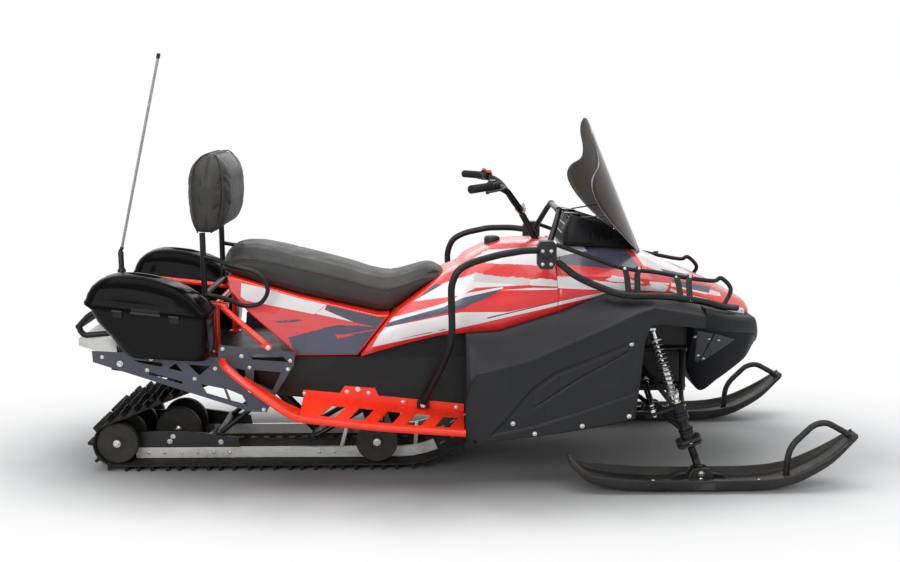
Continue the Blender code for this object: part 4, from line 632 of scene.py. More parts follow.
def paint_material(name, ground, table, edge_highlight_strips=()):
    """Painted plastic with a stack of convex colour fields, the optional last ones being painted highlights
    along the panels' edges.
    """
    shapes = []
    for line in table.split("\n"):
        head, outline = line.split(": ")
        tint, rag = head.split()
        shapes.append((tint, float(rag) / 1000, mm(outline)))
    mat = Mat(name, TINTS[ground], 0.30, coat=0.35, specular=0.45)
    x, _, z = mat.split()
    ragged = mat.math("SUBTRACT", mat.noise(11, 6, (1.0, 1.0, 5.5), 0.72), 0.5)

    def depth(outline):
        """How far a point is inside the outline, negative outside."""
        middle_x, middle_z = (sum(values) / len(outline) for values in zip(*outline))
        least = None
        for (x0, z0), (x1, z1) in zip(outline, outline[1:] + outline[:1]):
            length = math.hypot(x1 - x0, z1 - z0)
            nx, nz = -(z1 - z0) / length, (x1 - x0) / length
            if nx * (middle_x - x0) + nz * (middle_z - z0) < 0:
                nx, nz = -nx, -nz
            inside = mat.math("MULTIPLY_ADD", x, nx, mat.math("MULTIPLY_ADD", z, nz, -(nx * x0 + nz * z0)))
            least = mat.math("MINIMUM", least, inside) if least else inside
        return least

    colour = TINTS[ground]
    # the colour fields, then any painted edge highlights, each laid over the colour before it
    for tint, rag, outline in shapes + list(edge_highlight_strips):
        inside = depth(outline)
        if rag:
            inside = mat.math("ADD", inside, mat.math("MULTIPLY", ragged, rag * 4))
        colour = mat.mix(mat.ramp(inside, -0.0006, 0.0006), colour, TINTS[tint])
    fade = mat.ramp(mat.noise(5, 4), 0.3, 0.75, 0.93, 1.05)
    mat.shade({"Base Color": mat.add("HueSaturation", {"Color": colour, "Value": fade}).outputs[0],
        "Roughness": mat.ramp(mat.noise(14, 5), 0.3, 0.7, 0.24, 0.36)})
    mat.bump(mat.noise(320, 2), 0.00006)
    return mat.made


# painted highlights run along the rear cowl's outline and along the tank's rear edge
M["rear_paint"] = paint_material("rear_paint", "rose", REAR_PAINT, painted_edge_highlights(REAR_EDGE, 0.0062))
M["front_paint"] = paint_material("front_paint", "red", FRONT_PAINT, painted_edge_highlights(FRONT_EDGE, 0.0055))
M["hood_paint"] = paint_material("hood_paint", "rose", HOOD_PAINT)

# painted panels
DECK = mm("-409 510, -239 560, -76 600, 166 620, 408 698, 589 767, 736 765, 900 747, 1087 684, 1245 640")


def level(line, x):
    """Height of a polyline of (x, z) points at x, held level past its ends."""
    if x <= line[0][0]:
        return line[0][1]
    for (x0, z0), (x1, z1) in zip(line, line[1:]):
        if x <= x1:
            return z0 + (z1 - z0) * (x - x0) / (x1 - x0)
    return line[-1][1]


def smooth_table(table, steps):
    """More rows between a table's rows, every column on a smooth curve."""
    count = len(table)
    rows = []
    for index in range(count - 1):
        def at(offset):
            return np.array(table[min(max(index + offset, 0), count - 1)], float)
        for step in range(steps):
            share = step / steps
            rows.append(catmull(at(-1), at(0), at(1), at(2), share))
    rows.append(np.array(table[-1], float))
    return rows


def half_section(points, radius=0.03, steps=5):
    """A right half section (y, z) from the edge to the middle, its corners rounded."""
    path = eased([(y, z, 0) for y, z in points], radius, steps)
    return [(point.x, point.y) for point in path]


def whole_ring(x, half):
    """A full section from its right half, which ends on the middle plane."""
    right = [(x, -y, z) for y, z in half]
    left = [(x, y, z) for y, z in reversed(half[:-1])]
    return right + left


def make_hood():
    table = mm("""400.3 330 326 780 200 938 944, 585 322 316 820 200 932 939, 751 312 302 820 190 905 914,
        835 302 292 800 185 866 876, 1056 252 246 722 155 774 782, 1213 150 142 668 100 694 701,
        1245 85 82 656 50 664 668""")
    rows = []
    for x, rim, waist_y, waist_z, shoulder_y, shoulder_z, crown in smooth_table(table, 6):
        low = level(DECK, x) + 0.0005
        x, rim = min(x, 1.245), min(rim, 0.33)
        waist_z = max(waist_z, low + 0.006)
        half = half_section([(rim, low), (min(waist_y, 0.33), waist_z),
            (shoulder_y, min(shoulder_z, 0.944)), (shoulder_y * 0.45, min(crown, 0.944)),
            (0, min(crown, 0.944))], 0.028)
        rows.append(whole_ring(x, half))
    tip = rows[-1]
    middle = vec(1.2449, 0, 0.65)
    rows.append([Vector(point).lerp(middle, 0.5) for point in tip])
    piece("hood_shell", sheet(rows), "hood_paint", replaces=("hood",), wall=0.004)


def make_tank():
    table = mm("""-420 326 600 240 735 110 790, -60 326 680 225 785 110 827, 50 326 700 215 855 100 893,
        170 326 720 210 895 95 941, 300 326 760 205 912 105 949, 399.7 326 780 200 920 120 941""")
    rows = []
    for x, waist_y, waist_z, shoulder_y, shoulder_z, crown_y, crown_z in smooth_table(table, 10):
        if x < -0.4:
            continue
        low = level(DECK, x) + 0.0005
        top = level(FRONT_EDGE, x) if x < -0.054 else 9.0
        half = half_section([(0.33, low), (min(waist_y, 0.33), max(waist_z, low + 0.006)),
            (shoulder_y, shoulder_z), (crown_y, crown_z), (0, crown_z + 0.001)], 0.045)
        rows.append(whole_ring(x, [(y, min(z, top, 0.9498)) for y, z in half]))
    piece("tank_shell", sheet(rows), "front_paint", replaces=("tank_cowl",), wall=0.004)


def make_rear_cowl():
    points, faces = prism(REAR_EDGE[:-1], -1, 1)
    points = [vec(p.x, math.copysign(0.27 - 0.14 * (p.z - 0.5), p.y), p.z) for p in points]
    piece("rear_cowl_shell", (points, faces), "rear_paint", replaces=("rear_cowl",), bevel=0.006)


make_hood()
make_tank()
make_rear_cowl()


# soft pieces
def swell(thing, voxel, cap, frames=20):
    """Remeshes a pad and lets cloth pressure fill it, with a limit on how far a point may move."""
    scene = bpy.context.scene
    bpy.context.view_layer.objects.active = thing
    bpy.ops.object.modifier_apply(modifier=modify(thing, "REMESH", mode="VOXEL", voxel_size=voxel).name)
    thing.data.shade_smooth()
    before = [vertex.co.copy() for vertex in thing.data.vertices]
    cloth = modify(thing, "CLOTH")
    cloth.settings.use_pressure = True
    cloth.settings.uniform_pressure_force = 4
    cloth.settings.effector_weights.gravity = 0
    cloth.point_cache.frame_start, cloth.point_cache.frame_end = 1, frames
    for frame_number in range(1, frames + 1):
        scene.frame_set(frame_number)
    bpy.ops.object.modifier_apply(modifier=cloth.name)
    scene.frame_set(1)
    for vertex, start in zip(thing.data.vertices, before):
        move = vertex.co - start
        if move.length > cap:
            vertex.co = start + move * (cap / move.length)


def finish_pad(thing, body, node, low, high):
    for vertex in thing.data.vertices:
        for axis in range(3):
            vertex.co[axis] = min(max(vertex.co[axis], low[axis]), high[axis])
    made = thing.modifiers.new("smooth", "SUBSURF")
    made.levels = made.render_levels = 1
    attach(thing, body)
    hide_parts(node)


SEAT_TOP = mm("""-990 868, -982 893, -950 926, -900 938, -835 936, -760 922, -674 901, -570 875, -460 846,
    -380 819, -314 806, -262 808, -202 825, -150 842, -107 846, -78 840, -66 830""")
SEAT_FOOT = mm("-985 842, -653 742, -332 665, -279 665, -54 824")
SEAT_HALF = mm("""-990 140, -975 172, -940 192, -835 203, -653 203, -460 190, -332 180, -279 175, -202 160,
    -107 130, -66 100""")


def seat_ring(x):
    half, seam = seat_seam(x)
    top, low = level(SEAT_TOP, x), level(SEAT_FOOT, x) + 0.002
    side = seam - low
    shoulder = max(seam + 0.001, top - 0.026)
    rise = top - shoulder
    return whole_ring(x, [(half - 0.01, low), (half + 0.001, low + 0.28 * side),
        (half + 0.003, low + 0.6 * side), (half, seam), (half - 0.01, seam + 0.5 * (shoulder - seam)),
        (half - 0.034, shoulder), (half * 0.64, shoulder + 0.55 * rise),
        (half * 0.34, shoulder + 0.93 * rise), (0, top)])


def seat_seam(x):
    half, top, low = level(SEAT_HALF, x), level(SEAT_TOP, x), level(SEAT_FOOT, x)
    return half, max(low + 0.006, top - 0.054)


def make_seat():
    xs = [-0.99 + 0.924 * n / 60 for n in range(61)]
    thing = make("seat_cushion", skin([seat_ring(x) for x in xs]), "vinyl")
    swell(thing, 0.0055, 0.006)
    low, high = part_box("seat")
    cross = -0.29
    for vertex in thing.data.vertices:
        p = vertex.co
        half, seam = seat_seam(p.x)
        near_side = abs(p.y) > half - 0.03
        # the side seam is pulled in, and a sewn line crosses the top where the rider's seat ends
        if near_side:
            pull = 0.005 * math.exp(-((p.z - seam) / 0.006) ** 2)
            p.y -= math.copysign(pull, p.y)
        over = level(SEAT_FOOT, p.x) + 0.55 * (level(SEAT_TOP, p.x) - level(SEAT_FOOT, p.x))
        if p.z > over:
            p.z -= 0.0042 * math.exp(-((p.x - cross) / 0.006) ** 2)
            p.z -= 0.003 * math.exp(-((p.x + 0.69) / 0.007) ** 2)
    finish_pad(thing, "chassis", "seat", low, high)
    xs = [-0.975 + 0.895 * n / 80 for n in range(81)]
    for side in (-1, 1):
        path = []
        for x in xs:
            half, seam = seat_seam(x)
            path.append((x, side * (half + 0.0005), seam))
        piping = sweep(path, 0.0021, 8)
        stitches = []
        for index in range(0, len(path) * 3):
            t = index / 3
            a = Vector(path[min(int(t), len(path) - 1)]).lerp(Vector(path[min(int(t) + 1, len(path) - 1)]),
                t % 1)
            stitches.append(rod(a + vec(-0.0022, -side * 0.002, 0.0065), a
                + vec(0.0022, -side * 0.002, 0.0065), 0.0006, 5))
        piece("seat_piping_" + side_name(side), piping, "vinyl")
        piece("seat_stitching_" + side_name(side), stitches, "thread")


PAD_SECTIONS = mm("""1003 -1070 -1002 212, 1030 -1085 -965 222, 1100 -1097 -943 224, 1180 -1102 -935 222,
    1260 -1092 -943 208, 1303 -1064 -966 176, 1320 -1032 -993 125""")


def pad_ring(z, rear, front, half):
    round_off = 0.36 * (front - rear)
    ring = []
    for x, y, start in ((front - round_off, half - round_off, 0), (rear + round_off, half - round_off, 90),
            (rear + round_off, round_off - half, 180), (front - round_off, round_off - half, 270)):
        for turn in range(start, start + 91, 15):
            ring.append((x + round_off * math.cos(math.radians(turn)), y + round_off
                * math.sin(math.radians(turn)), z))
    return ring


def pad_edge(share, inset):
    """The pad's outline from the front, up one end and over, at a share of its thickness."""
    up = [(rear + share * (front - rear), -(half - inset * (front - rear)), z)
        for z, rear, front, half in PAD_SECTIONS]
    return up + [(x, -y, z) for x, y, z in reversed(up)]


def make_backrest_pad():
    """A bulky pad, as thick at its ends as in the middle, with piping along both of its edges."""
    rings = refine([pad_ring(*row) for row in PAD_SECTIONS], 5)
    thing = make("backrest_cushion", skin(rings), "vinyl")
    swell(thing, 0.0055, 0.006)
    low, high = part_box("backrest_pad")
    seam = smooth_path(pad_edge(0.5, 0.0), 8)
    for vertex in thing.data.vertices:
        p = vertex.co
        middle = level([(z, (rear + front) / 2) for z, rear, front, _ in PAD_SECTIONS], p.z)
        half = level([(z, half) for z, _, _, half in PAD_SECTIONS], p.z)
        if abs(p.y) > half - 0.02 or p.z > 1.3:
            pull = 0.004 * math.exp(-((p.x - middle) / 0.006) ** 2)
            p.y -= math.copysign(pull, p.y)
            p.z -= pull if p.z > 1.3 else 0.0
    finish_pad(thing, "chassis", "backrest_pad", low, high)
    pipes = [sweep(smooth_path(pad_edge(share, 0.09), 8), 0.0028, 8) for share in (0.12, 0.88)]
    pipes.append(sweep(seam, 0.0012, 6))
    piece("backrest_piping", pipes, "vinyl")


make_seat()
make_backrest_pad()


# rear cases
CASE_RIM = [(-1.452, 0.744), (-0.992, 0.692)]
CASE_FLOOR = [(-1.48, 0.541), (-0.974, 0.511)]
LID_TOP = mm("""-1472 800, -1440 836, -1400 853, -1351 860.5, -1290 859, -1226 850, -1150 829, -1090 804,
    -1030 765, -985 722""")


(RIM_REAR, RIM_FRONT), (CASE_NEAR, CASE_FAR), HINGE_Y = CASE_RIM, (0.240, 0.460), 0.466
HINGE = vec((RIM_REAR[0] + RIM_FRONT[0]) / 2, HINGE_Y, (RIM_REAR[1] + RIM_FRONT[1]) / 2)
ALONG_RIM = vec(RIM_FRONT[0] - RIM_REAR[0], 0, RIM_FRONT[1] - RIM_REAR[1]).normalized()


def rim_z(x):
    (x0, z0), (x1, z1) = CASE_RIM
    return z0 + (z1 - z0) * (x - x0) / (x1 - x0)


def floor_z(x):
    return level(CASE_FLOOR, x) + 0.0006


def oval(x_low, x_high, y_low, y_high, height, corner, steps=10):
    """A rounded rectangle in plan with its own height at each point."""
    ring = []
    for x, y, start in ((x_high - corner, y_high - corner, 0), (x_low + corner, y_high - corner, 90),
            (x_low + corner, y_low + corner, 180), (x_high - corner, y_low + corner, 270)):
        for step in range(steps + 1):
            turn = math.radians(start + 90 * step / steps)
            px = x + corner * math.cos(turn)
            ring.append((px, y + corner * math.sin(turn), height(px)))
        # the straight stretch to the next corner is split, so that its height can bend
        if start in (0, 180):
            x_next = x_low + corner if start == 0 else x_high - corner
            y_edge = y_high if start == 0 else y_low
            for share in (0.2, 0.4, 0.6, 0.8):
                px = x + (x_next - x) * share
                ring.append((px, y_edge, height(px)))
    return ring


def hollow(outer, inner):
    """A shell between two stacks of rings, joined at their first rings and floored at their last ones."""
    points, faces = skin(outer + inner[::-1], closed=True, caps=False)
    count, row = len(outer[0]), len(outer) - 1
    faces = [face for face in faces if not (min(face) // count == row and max(face) // count == row + 1)]
    faces.append(tuple(range(row * count, (row + 1) * count)))
    faces.append(tuple(range((row + 1) * count, (row + 2) * count))[::-1])
    return points, faces


def hinge_part(at, half, width, leaf):
    """A barrel on the hinge's line, and its leaf between two (y, z) points."""
    barrel = rod(at - half * ALONG_RIM, at + half * ALONG_RIM, 0.0048, 16, 0.0008)
    return [barrel, strap([at + vec(0, y, z) for y, z in leaf], width, 0.003, ALONG_RIM)]


def tub_rings(rim_rows, floor_rows):
    """Rings from x range, insets of the long sides, distance from the rim or floor, and corner."""
    rings = []
    for rows, base, way in ((rim_rows, rim_z, -1), (floor_rows, floor_z, 1)):
        for x0, x1, near, far, away, corner in mm(rows):
            rings.append(oval(x0, x1, CASE_NEAR + near, CASE_FAR - far,
                lambda x: base(x) + way * away, corner))
    return rings


def make_case(side):
    outer = tub_rings("""-1452 -992 0 0 0 42, -1452 -992 0 0 5 42, -1446 -994 3 4 7 42, -1443 -994 3 5 20 44,
        -1425 -996 4 8 60 50, -1385 -998 5 16 110 56""",
        "-1350 -1000 6 24 30 60, -1330 -1002 10 34 8 56, -1312 -1008 20 46 0 48")
    inner = tub_rings("-1447 -997 5 5 0 40, -1436 -1000 8 10 20 42",
        "-1345 -1006 11 30 32 56, -1312 -1012 24 50 4 46")
    sided("case_tub", hollow(outer, inner), "gloss_black", side, stands_for="case", smooth=50,
        slot="gloss_black")
    hinges = []
    for offset in (-0.11, 0.11):
        hinges += hinge_part(HINGE + offset * ALONG_RIM, 0.02, 0.036,
            ((-0.0066, -0.0025), (-0.0066, -0.026)))
    sided("case_hinges", hinges, "powder_black", side, bevel=0.0006, slot="gloss_black")


LID_ROWS = mm("""-1458 -986 -1.5 0.6 0 42, -1468 -984.5 -2.8 7 0 44, -1470 -984 -3 16.5 0 45,
    -1466 -987 1 22.6 0 46, -1463 -992 4 22.6 160 48, -1460 -1002 11 22.6 500 52,
    -1447 -1030 24 22.6 780 54, -1425 -1062 44 22.6 930 54, -1395 -1100 62 22.6 985 46,
    -1350 -1160 82 22.6 1000 28""")


def lid_rings(rows, wall):
    """Rings from x range, inset, lift above the rim, share of the way up to the lid's top, and corner."""
    rings = []
    for index, (x0, x1, inset, lift, share, corner) in enumerate(rows):
        def height(x):
            low = rim_z(x) + lift
            return low + share * (level(LID_TOP, x) - low) - (wall if index else 0.0)
        rings.append(oval(x0 + wall, x1 - wall, CASE_NEAR + inset + wall, CASE_FAR - inset - wall, height,
            max(corner - wall, 0.01)))
    return rings


def make_lid(side):
    shape = hollow(lid_rings(LID_ROWS, 0.0), lid_rings(LID_ROWS[:1] + LID_ROWS[3:], 0.004))
    sided("case_lid", shape, "lid_black", side, "lid", stands_for="lid", smooth=60)
    hinge = hinge_part(HINGE, 0.058, 0.11, ((-0.0045, 0.003), (-0.0045, 0.019)))
    sided("lid_hinge", hinge, "powder_black", side, "lid", bevel=0.0006, slot="gloss_black")
    # two draw latches on the inner long edge
    latches = []
    for offset in (-0.13, 0.13):
        at = HINGE + offset * ALONG_RIM
        latches.append(block((at.x - 0.016, at.x + 0.016), (0.2372, 0.2425), (at.z + 0.003, at.z + 0.03)))
    sided("lid_latches", latches, "powder_black", side, "lid", bevel=0.0012, slot="gloss_black")


for side in (-1, 1):
    make_case(side)
    make_lid(side)


# side covers: a fine grid whose outer face carries a shoulder, a groove and an embossed panel
COVER_TOP = mm("26.5 360, 41 422, 73 467, 279 523, 554 643, 710 715, 769 735, 975 700")
COVER_FOOT = mm("26.5 187, 124 178, 406 214, 567 242, 708 273")
COVER_ARCH = mm("708 273, 712 330, 722 420, 735 600, 760 660, 800 664, 975 646")
COVER_BOLTS = mm("215 255, 303 213, 494 245, 682 285, 683 584")


def line_distance(point, line):
    x, z = point
    least = 9.0
    for (x0, z0), (x1, z1) in zip(line, line[1:]):
        dx, dz = x1 - x0, z1 - z0
        share = min(max(((x - x0) * dx + (z - z0) * dz) / (dx * dx + dz * dz), 0), 1)
        least = min(least, math.hypot(x - x0 - share * dx, z - z0 - share * dz))
    return least


def signed_depth(point, outline):
    """Distance inside a closed outline of (x, z) points, negative outside."""
    x, z = point
    outline = outline + outline[:1]
    inside = False
    for (x0, z0), (x1, z1) in zip(outline, outline[1:]):
        if (z0 > z) != (z1 > z) and x < (x1 - x0) * (z - z0) / (z1 - z0) + x0:
            inside = not inside
    least = line_distance(point, outline)
    return least if inside else -least


def step(value, low, high):
    share = min(max((value - low) / (high - low), 0), 1)
    return share * share * (3 - 2 * share)


PANEL = mm("""125 205, 190 277, 242 344, 293 405, 380 470, 546 536, 702 600, 698 531, 696 372, 478 296,
    300 240""")
FACET = mm("302 322, 478 441, 668 548, 672 575, 546 520, 390 458, 305 395")
SHOULDER = mm("302 322, 478 441, 668 548")


def cover_relief(x, z):
    """How far the outer wall is set in at a point of the side view."""
    set_in = 0.0065 * step(signed_depth((x, z), PANEL), -0.002, 0.0035)
    set_in -= 0.0035 * step(signed_depth((x, z), FACET), -0.001, 0.006)
    set_in += 0.0055 * math.exp(-(line_distance((x, z), SHOULDER) / 0.004) ** 2)
    return max(set_in, 0.0)


def cover_top(x):
    return min(level(COVER_TOP, x), level(DECK, x) - 0.006)


def cover_y(x, z):
    """The outer wall's place: it leans outwards, and turns in at the rear edge."""
    lean = 0.015 * (z - 0.15) / max(cover_top(x) - 0.15, 0.05)
    return 0.425 + lean - cover_relief(x, z) - 0.006 * step(x, 0.16, 0.03)


def make_side_cover(side):
    xs = [0.0265 + 0.9485 * n / 220 for n in range(221)]
    outer = []
    for x in xs:
        top = cover_top(x)
        foot = min(level(COVER_FOOT if x < 0.708 else COVER_ARCH, x), top - 0.01)
        zs = [foot + (top - 0.008 - foot) * n / 95 for n in range(96)]
        ledge = level(DECK, x) - 0.0008
        rise = ledge - top
        outer.append([(x, cover_y(x, z), z) for z in zs] + [(x, 0.4385, top - 0.004),
            (x, 0.434, top - 0.0005), (x, 0.425, top + rise * 0.12), (x, 0.4, top + rise * 0.4),
            (x, 0.372, top + rise * 0.7), (x, 0.35, ledge - rise * 0.06), (x, 0.335, ledge),
            (x, 0.2905, ledge)])
    sided("side_pod", sheet(outer), "pod", side, stands_for="side_cover", smooth=60, wall=0.0035)
    screws = [bolt((x, cover_y(x, z) - 0.0002, z), (0, 1, 0), 0.0065) for x, z in COVER_BOLTS]
    sided("pod_screws", screws, "bolt", side)


for side in (-1, 1):
    make_side_cover(side)


# nose cowl
NOSE = mm("""975.5 0.3 438 643 260 620 150 400, 1040 0.3 410 630 250 610 130 303,
    1120 0.3 350 612 230 600 125 352, 1200 0.3 270 592 195 582 105 405, 1245 3 205 575 165 565 85 437,
    1275 48 140 550 115 542 55 470, 1296 85 75 522 62 516 30 494""")


def make_nose():
    rows = []
    for x, drop, half, edge_z, wall_y, wall_z, keel_y, keel_z in smooth_table(NOSE, 6):
        top = level(DECK, x) - max(drop, 0.0006)
        x, half = min(x, 1.296), min(half, 0.438)
        corner = [(0, keel_z), (keel_y, keel_z), (wall_y, wall_z - 0.004), (half - 0.01, edge_z - 0.004),
            (half, edge_z + 0.01), (half, top - 0.012), (half - 0.014, top), (0, top)]
        right = [(point.x, point.y) for point in eased([(y, z, 0) for y, z in corner], 0.012, 4)]
        ring = [(x, -y, z) for y, z in right] + [(x, y, z) for y, z in reversed(right[1:-1])]
        rows.append(ring)
    piece("nose_shell", skin(rows), "body_plastic", replaces=("nose_cowl",), smooth=50)


make_nose()


# track: a belt with its lugs, and the wheels that it runs on
WHEEL_Z = 0.118
CIRCLES = [(-1.43, WHEEL_Z, 0.088), (-0.25, 0.45, 0.42), (0.2, 0.31, 0.08), (-0.85, 0.385, 0.055)]


def belt_pieces():
    normals = []
    for index, (x0, z0, r0) in enumerate(CIRCLES):
        x1, z1, r1 = CIRCLES[(index + 1) % 4]
        span = math.hypot(x1 - x0, z1 - z0)
        normals.append(math.atan2(z1 - z0, x1 - x0) - math.pi / 2 + math.asin((r0 - r1) / span))
    runs = []
    for index, (x0, z0, r0) in enumerate(CIRCLES):
        x1, z1, r1 = CIRCLES[(index + 1) % 4]
        a = normals[index]
        start = (x0 + r0 * math.cos(a), z0 + r0 * math.sin(a))
        end = (x1 + r1 * math.cos(a), z1 + r1 * math.sin(a))
        runs.append(("run", (start, end, a), math.dist(start, end)))
        turn = (normals[(index + 1) % 4] - a) % (2 * math.pi)
        runs.append(("arc", (x1, z1, r1, a, turn), r1 * turn))
    return runs


RUNS = belt_pieces()
LOOP = sum(run[2] for run in RUNS)


def belt_at(distance, height):
    """Point and outward angle at a distance round the loop."""
    distance %= LOOP
    for kind, data, length in RUNS:
        if distance <= length:
            break
        distance -= length
    if kind == "run":
        (x0, z0), (x1, z1), a = data
        share = distance / length
        return (x0 + share * (x1 - x0) + height * math.cos(a), z0 + share * (z1 - z0) + height
            * math.sin(a)), a
    x, z, radius, a, turn = data
    a += turn * distance / length
    return (x + (radius + height) * math.cos(a), z + (radius + height) * math.sin(a)), a


def across_belt(distance, low_y, high_y, heights, length, top_length):
    """One rubber block on the belt, tapered towards its top."""
    rings = []
    for height, long in zip(heights, (length, top_length)):
        (x, z), a = belt_at(distance, height)
        tx, tz = -math.sin(a), math.cos(a)
        inset = 0.003 if height == heights[-1] else 0
        rings.append([(x - tx * long / 2, low_y + inset, z - tz * long / 2),
            (x + tx * long / 2, low_y + inset, z + tz * long / 2),
            (x + tx * long / 2, high_y - inset, z + tz * long / 2),
            (x - tx * long / 2, high_y - inset, z - tz * long / 2)])
    return skin(rings)


def make_track():
    rows = round(LOOP / 0.057)
    pitch = LOOP / rows
    steps = rows * 4
    half = 0.254
    rings = []
    for n in range(steps):
        (xo, zo), _ = belt_at(n * LOOP / steps, 0.0078)
        (xi, zi), _ = belt_at(n * LOOP / steps, 0.0012)
        rings.append([(xi, -half + 0.002, zi), (xi, half - 0.002, zi), (xo, half, zo), (xo, -half, zo)])
    shapes = [skin(rings, closed=True)]
    columns = mm("-252 -178, -168 -92, -80 -4, 4 80, 92 168, 178 252")
    for row in range(rows):
        at = (row + 0.5) * pitch
        for index, (low, high) in enumerate(columns):
            if (index + row) % 2 and index in (1, 4):
                low, high = low + 0.008, high - 0.008
            shift = 0.008 if (index + row) % 3 == 0 else 0.0
            shapes.append(across_belt(at + shift, low, high, (0.0074, 0.0298), 0.017, 0.01))
            # a low rib ties neighbouring blocks
        for low, high in mm("-180 -166, -94 -78, 78 94, 166 180"):
            shapes.append(across_belt(at, low, high, (0.0074, 0.015), 0.012, 0.008))
    piece("track_loop", shapes, "rubber", replaces=("track",), smooth=30)
    # guide cleats along the windows, inside the belt
    cleats = []
    for row in range(rows):
        at = row * pitch
        for y in (-0.108, 0.108):
            cleats.append(across_belt(at, y - 0.012, y + 0.012, (0.0008, 0.0092), 0.026, 0.024))
    piece("track_clips", cleats, "dark_metal", slot="rubber")


def make_wheel(name, x, z, radius, faces, axle_half, nodes_replaced):
    """Rubber-tyred idler wheels with a dished, ribbed disc and a silver axle bolt."""
    tyres, discs, metal = [], [], []
    for face in faces:
        for side in (-1, 1):
            y0, way = side * face, -side
            tyres.append(lathe([(radius - 0.014, 0.001), (radius - 0.004, 0.0), (radius, 0.004),
                (radius, 0.026), (radius - 0.004, 0.03), (radius - 0.014, 0.029)], (x, y0, z), (0, way, 0),
                48))
            dish = [(0.012, -0.003), (0.024, -0.003), (0.026, 0.001), (0.032, 0.009),
                (radius * 0.62, 0.011), (radius * 0.68, 0.004), (radius - 0.018, 0.002),
                (radius - 0.0135, 0.001), (radius - 0.0135, 0.029), (radius - 0.03, 0.02), (0.012, 0.02)]
            discs.append(lathe(dish, (x, y0, z), (0, way, 0), 48))
            for spoke in range(8):
                turn = 2 * math.pi * spoke / 8
                c, s = math.cos(turn), math.sin(turn)
                centre = vec(x + c * radius * 0.47, y0 + way * 0.0075, z + s * radius * 0.47)
                discs.append(extrude([(-radius * 0.15, -0.0022), (radius * 0.15, -0.0022),
                    (radius * 0.15, 0.0022), (-radius * 0.15, 0.0022)], centre, (c, 0, s), (-s, 0, c),
                    0.01))
        metal += [nut((x, way * (face + 0.0028), z), (0, way, 0), 0.0105) for way in (-1, 1)]
    metal.append(rod((x, -axle_half + 0.004, z), (x, axle_half - 0.004, z), 0.0105, 20))
    piece(name + "_tyres", tyres, "wheel", replaces=nodes_replaced, smooth=40)
    piece(name + "_discs", discs, "wheel_disc", smooth=40)
    piece(name + "_axle", metal, "bolt", smooth=40, slot="steel")


make_track()
make_wheel("rear_idlers", -1.43, WHEEL_Z, 0.0872, (0.235, 0.1), 0.241, ("rear_wheels",))
make_wheel("bogie_idlers", -0.342, WHEEL_Z, 0.0876, (0.235,), 0.241, ("bogie_wheels",))
make_wheel("upper_idlers", -1.21, 0.1283, 0.0978, (0.08,), 0.182, ("upper_wheels",))


# frames of round tube
def bent(path, radius, ease=0.03, sides=20):
    return sweep(eased(path, ease, 7), radius, sides)


def weld(centre, axis, radius):
    """A low bead where one tube meets another."""
    return lathe([(radius, -0.003), (radius + 0.0022, -0.001), (radius + 0.0022, 0.001), (radius, 0.003)],
        centre, axis, 20)


FRAME_R, RACK_Y, POST_X = 0.012, 0.2, -1.046


def rack_z(x):
    return 0.755 - 0.055 * (x + 1.44) / 0.49


